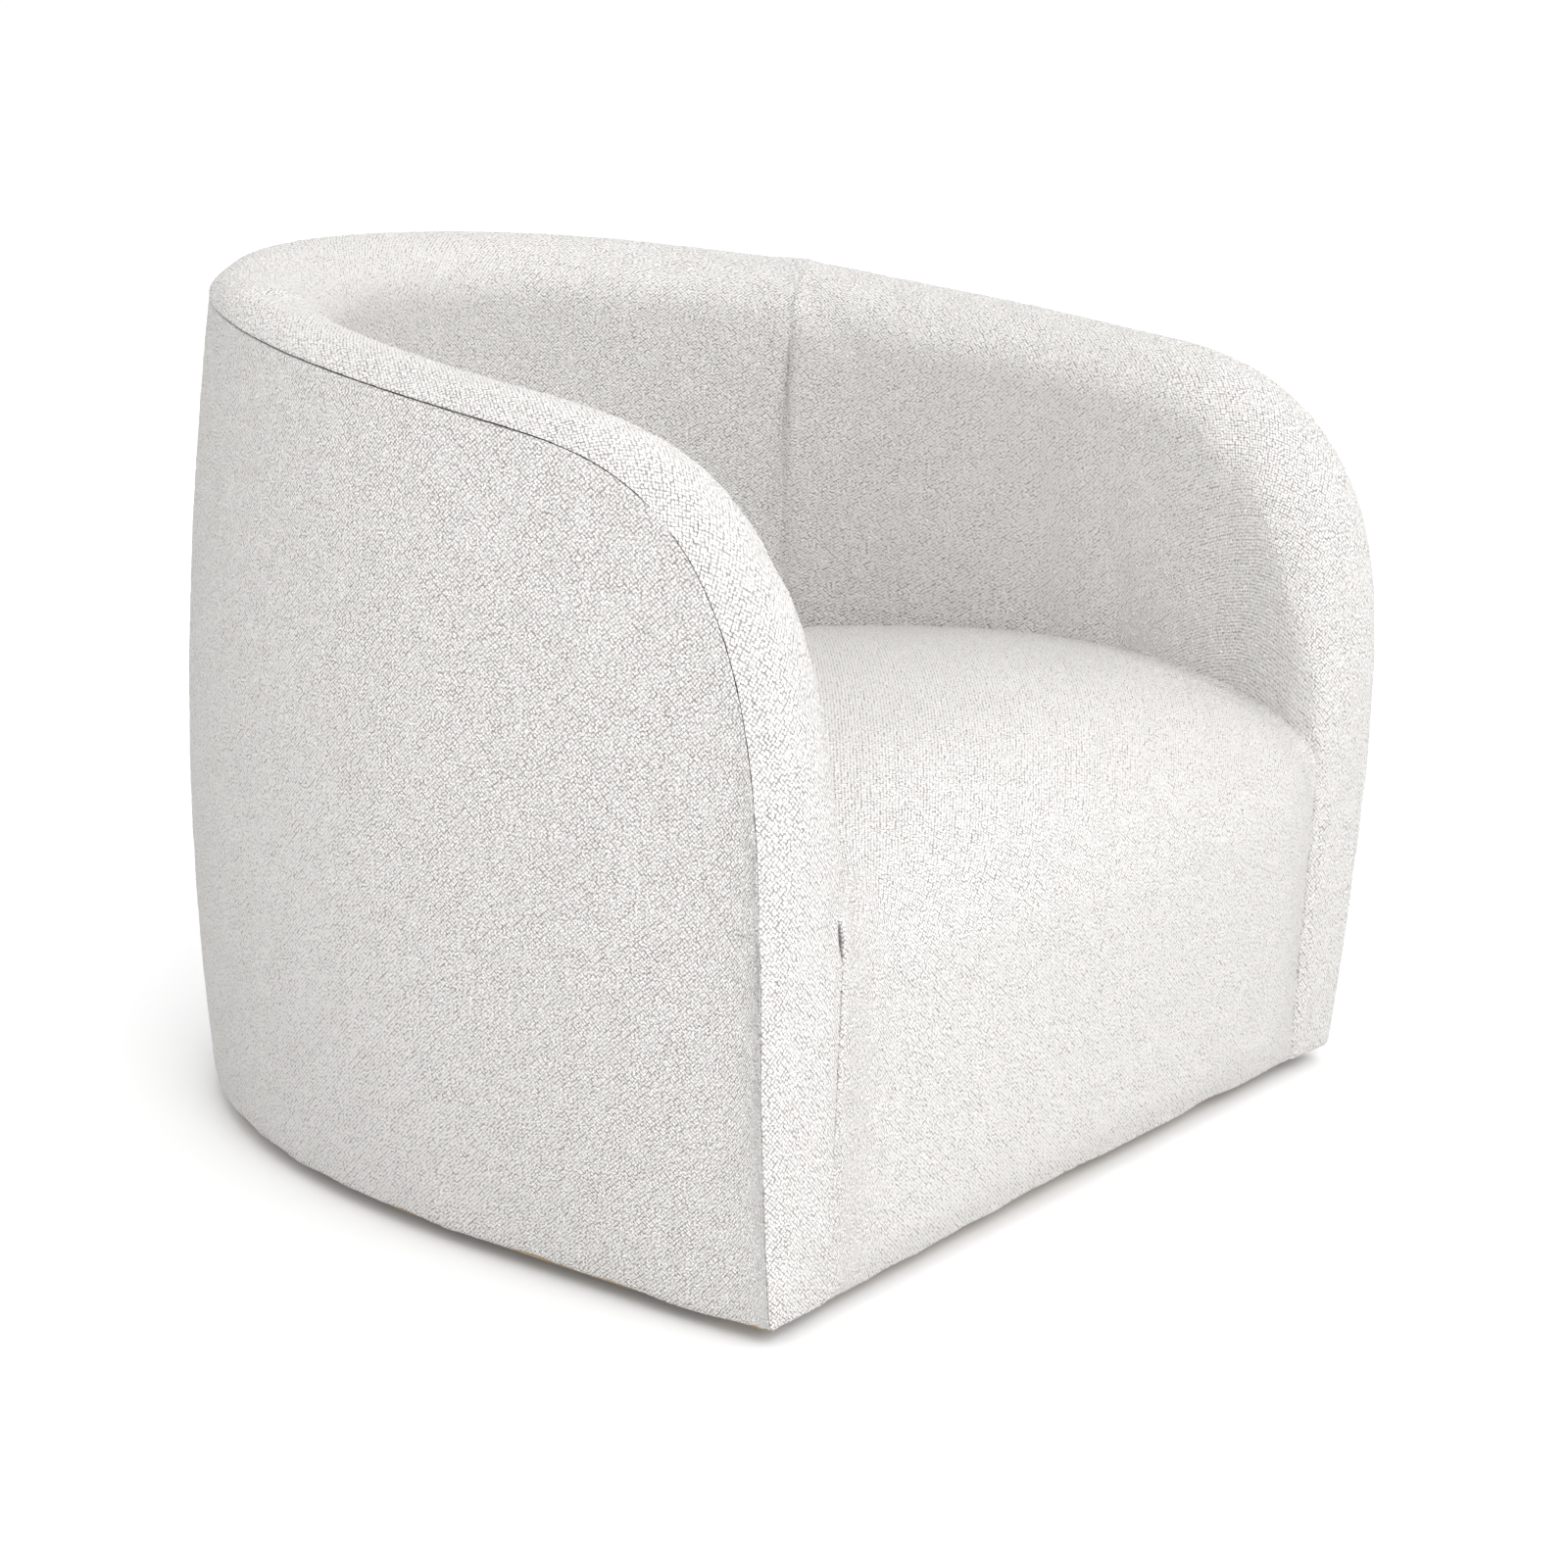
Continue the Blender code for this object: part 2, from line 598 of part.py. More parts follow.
for sign, word in ((-1, "front"), (1, "rear")):
    cross = box("cross_member_" + word, (2 * CROSS_HALF, CROSS_W, CROSS_T),
                (0.0, sign * CROSS_Y, CROSS_LIFT + CROSS_T / 2), WOOD, bevel=0.002)
    holes = [(x, y) for x, y in upper_holes if y * sign > 0.0]
    drill(cross, holes, SCREW_R + GAP, CROSS_LIFT - 0.01, CROSS_LIFT + SCREW_LEN + 0.001)

# ------------------------------------------------------------------ arm formers, posts and seat rails
FORMER_X, FORMER_T = 0.3810, 0.019
FORMER_INSET, FORMER_WIDE = 0.024, 0.070
POST_BASE = CROSS_LIFT


def former_loop():
    """Side outline of the arm former: up the front, round the turn, back down its inner edge."""
    outer, inner = [], []
    for i in range(0, 13):
        s = 0.10 + 1.85 * i / 12
        tau0, z0 = rim_station(s - 0.02)
        tau1, z1 = rim_station(s + 0.02)
        y0, y1 = outline(tau0, z0)[1], outline(tau1, z1)[1]
        along = Vector((y1 - y0, z1 - z0, 0.0)).normalized()
        into = Vector((along.y, -along.x, 0.0))
        tau, z = rim_station(s)
        here = Vector((outline(tau, z)[1], z, 0.0))
        outer.append(here + into * FORMER_INSET)
        inner.append(here + into * (FORMER_INSET + FORMER_WIDE))
    outer[0].y = POST_BASE
    inner[0].y = POST_BASE
    return [(p.x, p.y) for p in outer + inner[::-1]]


for side, word in ((1, "right"), (-1, "left")):
    side_board("arm_former_" + word, former_loop(), FORMER_T, side * FORMER_X, PLYWOOD)

TOP_RAIL_DROP, TOP_RAIL_OUT, TOP_RAIL_WIDE = 0.025, 0.016, 0.044
POST_X, POST_Y, POST_W, POST_D = 0.3150, 0.188, 0.034, 0.024
for side, word in ((1, "right"), (-1, "left")):
    top = seam_height(POST_Y) - TOP_RAIL_DROP - BOARD_T - 0.010
    box("rear_post_" + word, (POST_W, POST_D, top - POST_BASE),
        (side * POST_X, POST_Y, (top + POST_BASE) / 2), WOOD, bevel=0.002)

SIDE_RAIL_IN, SIDE_RAIL_H, SIDE_RAIL_TAPER = 0.315, 0.060, 0.015
side_rail_out = FORMER_X - FORMER_T / 2 - GAP
rear_rail_half = POST_X - POST_W / 2 - GAP
front_board_half = 0.3315
box("front_board", (2 * front_board_half, FRONT_BOARD_T, RAIL_TOP - RAIL_Z),
    (0.0, front_board_y + FRONT_BOARD_T / 2, (RAIL_TOP + RAIL_Z) / 2), PLYWOOD, bevel=0.0015)
box("seat_rail_rear", (2 * rear_rail_half, 0.022, SIDE_RAIL_H),
    (0.0, REAR_RAIL_Y, RAIL_TOP - SIDE_RAIL_H / 2), WOOD, bevel=0.002)
side_rail_rear = POST_Y - POST_D / 2 - GAP
for side, word in ((1, "right"), (-1, "left")):
    near, far = rail_front_y, side_rail_rear
    plan = [(side * SIDE_RAIL_IN, near), (side * side_rail_out, near),
            (side * (side_rail_out - SIDE_RAIL_TAPER), far), (side * SIDE_RAIL_IN, far)]
    flat_board("seat_rail_" + word, [plan], SIDE_RAIL_H, RAIL_TOP - SIDE_RAIL_H, WOOD)


# ------------------------------------------------------------------ arm rails and back rail
def top_rail(name, w0, w1, columns):
    """A curved board under the roll, sloping with the seam."""
    def place(u, v, level):
        w = w0 + (w1 - w0) * u
        z = seam_at_tau(1.0 - abs(w)) - TOP_RAIL_DROP
        return wall(w, z, TOP_RAIL_OUT + TOP_RAIL_WIDE * v) - Vector((0.0, 0.0, level))

    layer(name, columns, 1, place, 0.0, BOARD_T, PLYWOOD)


RAIL_END = 0.30
top_rail("back_top_rail", -RAIL_END, RAIL_END, 12)
arm_rail_start = 1.0 - TURN_TAU - 0.02
top_rail("arm_rail_right", RAIL_END + 0.002, arm_rail_start, 8)
top_rail("arm_rail_left", -arm_rail_start, -RAIL_END - 0.002, 8)

# ------------------------------------------------------------------ springs and clips
CLIP_T = 0.0012
wire_z = RAIL_TOP + CLIP_T + 2 * GAP + WIRE_R
spring_front = front_board_y + 0.0075
spring_rear = REAR_RAIL_Y
WAVE, SWING, CROWN = 0.0575, 0.021, 0.0125


def spring_points(x):
    """Zig-zag wire with flat bars; it starts and ends on a bar held by a clip."""
    bars = int(round((spring_rear - spring_front) / (WAVE / 2)))
    pitch = (spring_rear - spring_front) / bars
    line = []
    for i in range(bars + 1):
        y = spring_front + pitch * i
        z = wire_z + CROWN * math.sin(math.pi * i / bars)
        sign = 1 if i % 2 == 0 else -1
        line.append((x + sign * SWING, y, z))
        line.append((x - sign * SWING, y, z))
    return line


def clip_loop():
    """C-shaped clip round the bar, open to the rear: base plate, curl over the wire."""
    r_in, r_out = WIRE_R + GAP, WIRE_R + GAP + CLIP_T
    inner = [(0.007, -r_in)]
    outer = [(0.007, -r_out)]
    for i in range(0, 7):
        angle = -math.pi / 2 - math.pi * i / 6
        inner.append((r_in * math.cos(angle), r_in * math.sin(angle)))
        outer.append((r_out * math.cos(angle), r_out * math.sin(angle)))
    return outer + inner[::-1]


for number, x in enumerate(SPRINGS, 1):
    curve = bpy.data.curves.new("spring_%d" % number, "CURVE")
    curve.dimensions = "3D"
    curve.bevel_depth = WIRE_R
    curve.bevel_resolution = 2
    curve.use_fill_caps = True
    spline = curve.splines.new("POLY")
    line = spring_points(x)
    spline.points.add(len(line) - 1)
    for point, place in zip(spline.points, line):
        point.co = (*place, 1.0)
    spring = bpy.data.objects.new("spring_%d" % number, curve)
    bpy.context.scene.collection.objects.link(spring)
    finish(spring, STEEL)
    for y, word, facing in ((spring_front, "front", 1), (spring_rear, "rear", -1)):
        loop = [(y + facing * a, wire_z + b) for a, b in clip_loop()]
        side_board("clip_%s_%d" % (word, number), loop, 0.020, x, STEEL)

# ------------------------------------------------------------------ dust cover
DUST_END, DUST_INSET = 0.93, 0.016  # front ends in wall parameter, and inset from the outside face
DUST_T, DUST_CLEAR = 0.0010, 0.012  # thickness, and clearance round the base board
DUST_STEPS = 36
dust_out = rail_arc(-DUST_END, DUST_END, HEM, DUST_INSET, DUST_STEPS)
dust_hole = []
for number in range(DUST_STEPS):
    angle = 2 * math.pi * number / DUST_STEPS
    dust_hole.append(((BASE_R + DUST_CLEAR) * math.cos(angle), (BASE_R + DUST_CLEAR) * math.sin(angle)))
flat_board("dust_cover", [dust_out, dust_hole], DUST_T, RAIL_Z - GAP - DUST_T, BLACK)

# ------------------------------------------------------------------ swivel base
base = turned("base_board", [(0.0, BASE_Z + BASE_T), (BASE_R - 0.002, BASE_Z + BASE_T),
                             (BASE_R, BASE_Z + BASE_T - 0.002), (BASE_R, BASE_Z + 0.002),
                             (BASE_R - 0.002, BASE_Z), (0.0, BASE_Z)], PLYWOOD, base_axis, steps=48)
drill(base, lower_holes, SCREW_R + GAP, BASE_Z + BASE_T - SCREW_LEN - 0.001, LOWER_Z + 0.01)
for number in range(4):
    angle = math.pi / 4 + number * math.pi / 2
    turned("glide_%d" % (number + 1),
           [(0.0, GLIDE_H), (GLIDE_R, GLIDE_H), (GLIDE_R, 0.001), (GLIDE_R - 0.001, 0.0), (0.0, 0.0)],
           BLACK, base_axis, (GLIDE_AT * math.cos(angle), GLIDE_AT * math.sin(angle)), 20)

RIDGE_H, RIDGE_T = 0.0012, 0.0016
ridge_gap = BALL_R + 0.0009


def race_plate(name, low, up, inner, outer, parent, skirt):
    """Ring plate with two ridges that keep the balls on their circle; up is the race's side."""
    top = low + PLATE_T
    face, back = (top, low) if up > 0 else (low, top)
    ridge = face + up * RIDGE_H
    line = [(inner, face)]
    for edge in (RACE_R - ridge_gap - RIDGE_T, RACE_R + ridge_gap):
        line += [(edge, face), (edge, ridge), (edge + RIDGE_T, ridge), (edge + RIDGE_T, face)]
    if skirt:
        line += [(outer - PLATE_T, face), (outer - PLATE_T, skirt), (outer, skirt)]
    else:
        line += [(outer, face)]
    line += [(outer, back), (inner, back)]
    if up < 0:
        line = line[::-1]
    return turned(name, line, STEEL, parent, steps=32)


lower = race_plate("lower_swivel_plate", LOWER_Z, 1, PLATE_IN - 0.012, PLATE_OUT - 0.0012, base_axis, 0.0)
drill(lower, lower_holes, SCREW_R + GAP, LOWER_Z - 0.005, LOWER_Z + PLATE_T + 0.005)
upper = race_plate("upper_swivel_plate", UPPER_Z, -1, PLATE_IN + 0.035, PLATE_OUT + PLATE_T, turn_axis,
                   LOWER_Z + 0.0006)
drill(upper, upper_holes, SCREW_R + GAP, UPPER_Z - 0.005, UPPER_Z + PLATE_T + 0.005)

CAGE_T, CAGE_W = 0.0012, 0.0060
cage_in, cage_out = RACE_R - CAGE_W / 2, RACE_R + CAGE_W / 2
cage_top, cage_low = BALL_Z + CAGE_T / 2, BALL_Z - CAGE_T / 2
cage_section = [(cage_in, cage_top), (cage_out, cage_top), (cage_out, cage_low), (cage_in, cage_low)]
cage = turned("ball_cage", cage_section, STEEL, cage_axis, steps=32)
ball_mesh = bpy.data.meshes.new("balls")
ball_shape = bmesh.new()
for number in range(BALLS):
    angle = 2 * math.pi * number / BALLS
    spot = Matrix.Translation((RACE_R * math.cos(angle), RACE_R * math.sin(angle), BALL_Z))
    bmesh.ops.create_uvsphere(ball_shape, u_segments=8, v_segments=5, radius=BALL_R, matrix=spot)
ball_shape.to_mesh(ball_mesh)
ball_shape.free()
ball_tool = bpy.data.objects.new("balls", ball_mesh)
bpy.context.scene.collection.objects.link(ball_tool)
boolean(cage, ball_tool, "UNION")


def screw(name, place, z_seat, up, parent):
    """Pan-head wood screw; up is the direction in which the shank runs."""
    tip = z_seat + up * SCREW_LEN
    head = z_seat - up * (SCREW_HEAD_T + GAP)
    under = z_seat - up * GAP
    line = [(0.0, head), (SCREW_HEAD_R, head), (SCREW_HEAD_R, under), (SCREW_R, under),
            (SCREW_R, tip - up * 0.002), (0.0, tip)]
    if up > 0:
        line = line[::-1]
    turned(name, line, STEEL, parent, place, 12)


for number, place in enumerate(lower_holes, 1):
    screw("lower_screw_%d" % number, place, LOWER_Z + PLATE_T + 2 * GAP, -1, base_axis)
for number, place in enumerate(upper_holes, 1):
    screw("upper_screw_%d" % number, place, UPPER_Z - 2 * GAP, 1, turn_axis)
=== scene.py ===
import math

import bmesh
import bpy
import numpy as np
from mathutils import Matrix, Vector, noise


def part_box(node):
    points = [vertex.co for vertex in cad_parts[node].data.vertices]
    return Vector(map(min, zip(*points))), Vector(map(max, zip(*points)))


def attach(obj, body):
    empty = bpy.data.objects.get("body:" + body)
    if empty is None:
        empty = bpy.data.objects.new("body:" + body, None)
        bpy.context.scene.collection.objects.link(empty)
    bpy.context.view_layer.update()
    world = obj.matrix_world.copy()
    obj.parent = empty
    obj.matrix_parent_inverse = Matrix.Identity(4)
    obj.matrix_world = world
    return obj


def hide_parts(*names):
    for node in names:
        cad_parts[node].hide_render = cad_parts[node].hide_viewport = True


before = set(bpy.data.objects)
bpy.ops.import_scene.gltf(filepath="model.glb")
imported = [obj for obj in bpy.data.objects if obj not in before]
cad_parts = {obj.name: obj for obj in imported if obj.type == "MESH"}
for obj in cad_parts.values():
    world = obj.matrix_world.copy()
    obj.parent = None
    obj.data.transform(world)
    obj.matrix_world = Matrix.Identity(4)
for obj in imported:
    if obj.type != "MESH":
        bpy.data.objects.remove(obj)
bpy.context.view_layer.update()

# ------------------------------------------------------------------ camera
# A still camera with a 63 mm lens stands in front of the chair's left side, a little over the arms.
# It looks slightly down at the middle of the chair.
camera_data = bpy.data.cameras.new("camera")
camera_data.lens = 63.1
camera_data.sensor_width = 36.0
camera = bpy.data.objects.new("camera", camera_data)
bpy.context.scene.collection.objects.link(camera)
looked_at = Vector((-0.018, -0.1225, 0.2912))
camera_side = Vector((-0.7605, -0.6085, 0.2265)).normalized()
camera.location = looked_at + camera_side * 2.3167
camera.rotation_euler = (-camera_side).to_track_quat("-Z", "Y").to_euler()
bpy.context.scene.camera = camera

# ------------------------------------------------------------------ studio
# A plain white floor, a pale room that is dimmer on the left, and one large soft lamp.
# The lamp hangs high in front on the right, so the shadow falls behind and to the left.
bpy.context.scene.view_settings.view_transform = "Standard"
FLOOR_SIZE = 60.0
ROOM_LIGHT = 1.10
ROOM_SLOPE = (0.15, -0.20, 0.34)    # how much brighter the room is towards +X, +Y and +Z


def linear(colour):
    """Linear colour with alpha from an sRGB hex string."""
    values = [int(colour[i:i + 2], 16) / 255.0 for i in (1, 3, 5)]
    return (*(v / 12.92 if v <= 0.04045 else ((v + 0.055) / 1.055) ** 2.4 for v in values), 1.0)


def node(tree, kind, inputs=None, **settings):
    """Add a node with its settings; each input is a value or a socket to link."""
    made = tree.nodes.new(kind)
    for name, value in settings.items():
        setattr(made, name, value)
    for name, value in (inputs or {}).items():
        if isinstance(value, bpy.types.NodeSocket):
            tree.links.new(value, made.inputs[name])
        else:
            made.inputs[name].default_value = value
    return made


room = bpy.data.worlds.new("studio_room")
room.use_nodes = True
bpy.context.scene.world = room
sky = room.node_tree
sky.nodes.clear()
towards = node(sky, "ShaderNodeTexCoord").outputs["Generated"]
slope = node(sky, "ShaderNodeVectorMath", {0: towards, 1: ROOM_SLOPE}, operation="DOT_PRODUCT")
level = node(sky, "ShaderNodeMath", {0: slope.outputs["Value"], 1: ROOM_LIGHT}, operation="ADD")
glow = node(sky, "ShaderNodeBackground", {"Color": linear("#FFFFFF"), "Strength": level.outputs[0]})
node(sky, "ShaderNodeOutputWorld", {"Surface": glow.outputs[0]})

floor_shape = bmesh.new()
bmesh.ops.create_grid(floor_shape, x_segments=1, y_segments=1, size=FLOOR_SIZE / 2)
floor_mesh = bpy.data.meshes.new("floor")
floor_shape.to_mesh(floor_mesh)
floor_shape.free()
floor = bpy.data.objects.new("floor", floor_mesh)
bpy.context.scene.collection.objects.link(floor)
floor_paint = bpy.data.materials.new("matt white studio floor")
floor_paint.use_nodes = True
floor_shader = floor_paint.node_tree.nodes["Principled BSDF"]
floor_shader.inputs["Base Color"].default_value = linear("#E6E6E6")
floor_shader.inputs["Roughness"].default_value = 0.9
floor_shader.inputs["Specular IOR Level"].default_value = 0.1
floor_shader.inputs["Emission Color"].default_value = linear("#FFFFFF")
floor_shader.inputs["Emission Strength"].default_value = 0.05
floor_mesh.materials.append(floor_paint)


def lamp(name, place, size, watts):
    """A square soft lamp that points at the chair."""
    data = bpy.data.lights.new(name, "AREA")
    data.shape = "SQUARE"
    data.size = size
    data.energy = watts
    made = bpy.data.objects.new(name, data)
    made.location = place
    made.rotation_euler = (looked_at - Vector(place)).to_track_quat("-Z", "Y").to_euler()
    bpy.context.scene.collection.objects.link(made)


lamp("soft_lamp_front", (0.7, -3.0, 2.6), 1.8, 14.0)
lamp("soft_lamp_left", (-1.6, -2.3, 1.9), 1.4, 46.0)

# ------------------------------------------------------------------ looped fabric
# Ivory wool boucle: a plain ground cloth covered all over in small uneven loops of soft yarn.
# The loops catch the light as rounded nubs. Between them the colour turns darker in fine rows: partly the
# ground cloth, and partly painted shade in the pits between the loops.
LOOP_WIDTH = 0.0036         # width of one loop of yarn
YARN_WIDTH = 0.0013         # thickness of the yarn in a loop
GROUND_PITCH = 0.0027       # spacing of the loops' stitches, which lie in slanting rows


def boucle(name, loop_colour, ground_and_shade_colour):
    mat = bpy.data.materials.new(name)
    mat.use_nodes = True
    tree = mat.node_tree
    shader = tree.nodes["Principled BSDF"]
    spots = node(tree, "ShaderNodeTexCoord")
    # the yarn wanders, so neither the loops nor the rows are quite even
    drift = node(tree, "ShaderNodeTexNoise",
                 {"Vector": spots.outputs["Object"], "Scale": 0.8 / LOOP_WIDTH, "Detail": 1.0})
    shift = node(tree, "ShaderNodeVectorMath",
                 {0: drift.outputs["Color"], 1: (0.5, 0.5, 0.5)}, operation="SUBTRACT")
    moved = node(tree, "ShaderNodeVectorMath",
                 {0: shift.outputs[0], 1: (0.0022, 0.0022, 0.0022), 2: spots.outputs["Object"]},
                 operation="MULTIPLY_ADD")
    loops = node(tree, "ShaderNodeTexVoronoi",
                 {"Vector": moved.outputs[0], "Scale": 1.0 / LOOP_WIDTH, "Smoothness": 0.35},
                 feature="SMOOTH_F1")
    rounded = node(tree, "ShaderNodeMapRange",
                   {"Value": loops.outputs["Distance"], "From Min": 0.05, "From Max": 0.62,
                    "To Min": 1.0, "To Max": 0.0})
    curls = node(tree, "ShaderNodeTexNoise",
                 {"Vector": moved.outputs[0], "Scale": 1.0 / YARN_WIDTH, "Detail": 2.0,
                  "Distortion": 0.9})
    # rows of stitches follow the piece's own map, which is in metres, turned an eighth round
    bent = node(tree, "ShaderNodeVectorMath",
                {0: shift.outputs[0], 1: (0.0010, 0.0010, 0.0), 2: spots.outputs["UV"]},
                operation="MULTIPLY_ADD")
    rows = node(tree, "ShaderNodeMapping",
                {"Vector": bent.outputs[0], "Rotation": (0.0, 0.0, math.pi / 4),
                 "Scale": (1.0 / GROUND_PITCH, 1.18 / GROUND_PITCH, 1.0)})
    stitches = node(tree, "ShaderNodeTexVoronoi",
                    {"Vector": rows.outputs[0], "Scale": 1.0, "Randomness": 0.42},
                    voronoi_dimensions="2D")
    pit = node(tree, "ShaderNodeMapRange",
               {"Value": stitches.outputs["Distance"], "From Min": 0.40, "From Max": 0.68,
                "To Min": 0.0, "To Max": 1.0})
    patches = node(tree, "ShaderNodeTexNoise",
                   {"Vector": spots.outputs["Object"], "Scale": 90.0, "Detail": 3.0})
    thin = node(tree, "ShaderNodeMapRange",
                {"Value": patches.outputs["Fac"], "From Min": 0.36, "From Max": 0.62,
                 "To Min": 0.62, "To Max": 1.0})
    bare = node(tree, "ShaderNodeMath", {0: pit.outputs[0], 1: thin.outputs[0]}, operation="MULTIPLY")
    piled = node(tree, "ShaderNodeMath",
                 {0: rounded.outputs[0], 1: 0.45, 2: curls.outputs["Fac"]}, operation="MULTIPLY_ADD")
    height = node(tree, "ShaderNodeMath",
                  {0: bare.outputs[0], 1: -1.0, 2: piled.outputs[0]}, operation="MULTIPLY_ADD")
    # painted shade: the darker colour shows more where the loops lie low, as shade in the hollows between
    # them
    low = node(tree, "ShaderNodeMapRange",
               {"Value": piled.outputs[0], "From Min": 0.45, "From Max": 1.0,
                "To Min": 1.0, "To Max": 0.35})
    ground_and_pit_shade = node(tree, "ShaderNodeMath", {0: bare.outputs[0], 1: low.outputs[0]},
                 operation="MULTIPLY", use_clamp=True)
    tone = node(tree, "ShaderNodeMix",
                {"Factor": ground_and_pit_shade.outputs[0], "A": linear(loop_colour), "B": linear(ground_and_shade_colour)},
                data_type="RGBA")
    relief = node(tree, "ShaderNodeBump",
                  {"Height": height.outputs[0], "Distance": 0.0032, "Strength": 1.0})
    tree.links.new(tone.outputs["Result"], shader.inputs["Base Color"])
    tree.links.new(relief.outputs[0], shader.inputs["Normal"])
    shader.inputs["Roughness"].default_value = 0.95
    shader.inputs["Specular IOR Level"].default_value = 0.15
    shader.inputs["Sheen Weight"].default_value = 0.25
    shader.inputs["Sheen Roughness"].default_value = 0.6
    return mat


# the second colour is the ground cloth darkened by painted shade for the pits between the loops
ivory_boucle = boucle("ivory wool boucle, looped", "#FCFAF7", "#A89D93")

# ------------------------------------------------------------------ inside arm pads
# One piece of boucle over foam covers each arm front, the soft roll over the arm and its inner face.
# It is sewn to the outside panel along the outer seam and pulled down behind the seat.
HEM = 0.014                 # underside of the covers
HEIGHT = 0.740              # height over the hem at which the leans are given
HALF_WIDTH, FULL_HEIGHT, SIDE_TUCK, SIDE_LEAN = 0.443, 0.390, 0.067, 0.041
WIDEST_Y, FRONT_REACH, FRONT_LEAN = -0.1445, 0.2755, 0.038
BACK_REACH, BACK_LEAN = 0.591, 0.141
BACK_ROUND, SIDE_ROUND, SIDE_LENGTH, FRONT_SHARE = 2.2, 2.775, 0.813, 0.30
TURN_HEIGHT, TURN_Y, TURN_ROUND = 0.271, -0.2010, 3.15
SEAM_BACK, SEAM_SLOPE = 0.7305, 0.154
WALL, BACK_SWELL, INNER_X = 0.098, 0.040, 0.334
ROLL_CREST, FRONT_CREST, ROLL_TILT, EDGE_TILT = 0.037, 0.006, 0.028, 0.001
ROLL_LOW, ROLL_FULL = 0.300, 0.514
SWELL_LOW, SWELL_HIGH = 0.314, 0.694
SIDE_SEAM, REAR_SEAM = 0.45, 0.20
TUCK_Z = 0.299
FLANGE_TAU, FOOT_TAU = 0.050, 0.20
RIM_SHARE = 0.60            # share of the girth that goes over the roll
PAD_STEP = 0.0135           # spacing of the pad's mesh before it is subdivided
PAD_DEPTH = 0.016           # cloth and foam of a pad
PAD_UNDER = 0.0020          # a pad is cut this much small, because it swells
PAD_SWELL = 0.0042          # the most that a point of a wall pad may rise
EDGE_STEPS = (0.0022, 0.0065)       # closer rows where the cloth turns into a seam
HEM_SLACK, HEM_WAVE = 0.050, 0.0030 # the hem waves this much, over this height


def blend(low, high, value):
    t = min(max((value - low) / (high - low), 0.0), 1.0)
    return t * t * (3.0 - 2.0 * t)


def side_reach(z):
    if z < FULL_HEIGHT:
        return HALF_WIDTH * (1.0 - SIDE_TUCK * ((FULL_HEIGHT - z) / (FULL_HEIGHT - HEM)) ** 2)
    return HALF_WIDTH * (1.0 - SIDE_LEAN * ((z - FULL_HEIGHT) / (HEM + HEIGHT - FULL_HEIGHT)) ** 2)


def back_reach(z):
    return BACK_REACH * (1.0 - BACK_LEAN * ((z - HEM) / HEIGHT) ** 2)


def front_reach(z):
    return FRONT_REACH + FRONT_LEAN * (z - HEM) / HEIGHT


def outline(tau, z):
    """Right-hand outline at height z: tau 0 is the front corner, 1 the middle of the back."""
    if tau < FRONT_SHARE:
        y = -front_reach(z) * (1.0 - tau / FRONT_SHARE)
        x = side_reach(z) * (1.0 - (abs(y) / SIDE_LENGTH) ** SIDE_ROUND) ** (1.0 / SIDE_ROUND)
        return x, WIDEST_Y + y
    turn = (tau - FRONT_SHARE) / (1.0 - FRONT_SHARE) * math.pi / 2
    x = side_reach(z) * max(math.cos(turn), 0.0) ** (2.0 / BACK_ROUND)
    y = back_reach(z) * math.sin(turn) ** (2.0 / BACK_ROUND)
    return x, WIDEST_Y + y


def inward(tau, z):
    """Level direction into the wall, square to it; straight sideways at the front corner."""
    step = 0.004
    if tau + step > 1.0:
        return Vector((0.0, -1.0, 0.0))
    x0, y0 = outline(max(tau - step, 0.0), z)
    x1, y1 = outline(tau + step, z)
    normal = Vector((-(y1 - y0), x1 - x0, 0.0)).normalized()
    share = blend(0.0, FRONT_SHARE * 0.7, tau)
    return (normal * share + Vector((-1.0, 0.0, 0.0)) * (1.0 - share)).normalized()


def wall(w, z, depth):
    """Point of the wall: w runs -1 (left front) .. 0 (back) .. 1 (right front)."""
    tau = 1.0 - abs(w)
    x, y = outline(tau, z)
    point = Vector((x, y, z)) + inward(tau, z) * depth
    if w < 0.0:
        point.x = -point.x
    return point


def thickness(w, z):
    tau = 1.0 - abs(w)
    front = outline(0.0, min(z, TURN_HEIGHT))[0] - INNER_X
    swell = BACK_SWELL * blend(0.45, 0.95, tau) * (1.0 - blend(SWELL_LOW, SWELL_HIGH, z))
    return front + (WALL - front) * blend(0.0, FRONT_SHARE, tau) + swell


def seam_height(y):
    return SEAM_BACK - SEAM_SLOPE * (WIDEST_Y + BACK_REACH - y)


def tau_at(y, z):
    reach = y - WIDEST_Y
    if reach < 0.0:
        return FRONT_SHARE * (1.0 + reach / front_reach(z))
    turn = math.asin(min((reach / back_reach(z)) ** (BACK_ROUND / 2.0), 1.0))
    return FRONT_SHARE + (1.0 - FRONT_SHARE) * turn / (math.pi / 2)


def seam_at_tau(tau):
    z = SEAM_BACK
    for _ in range(4):
        z = seam_height(outline(tau, z)[1])
    return z


TURN_TAU = tau_at(TURN_Y, seam_height(TURN_Y))


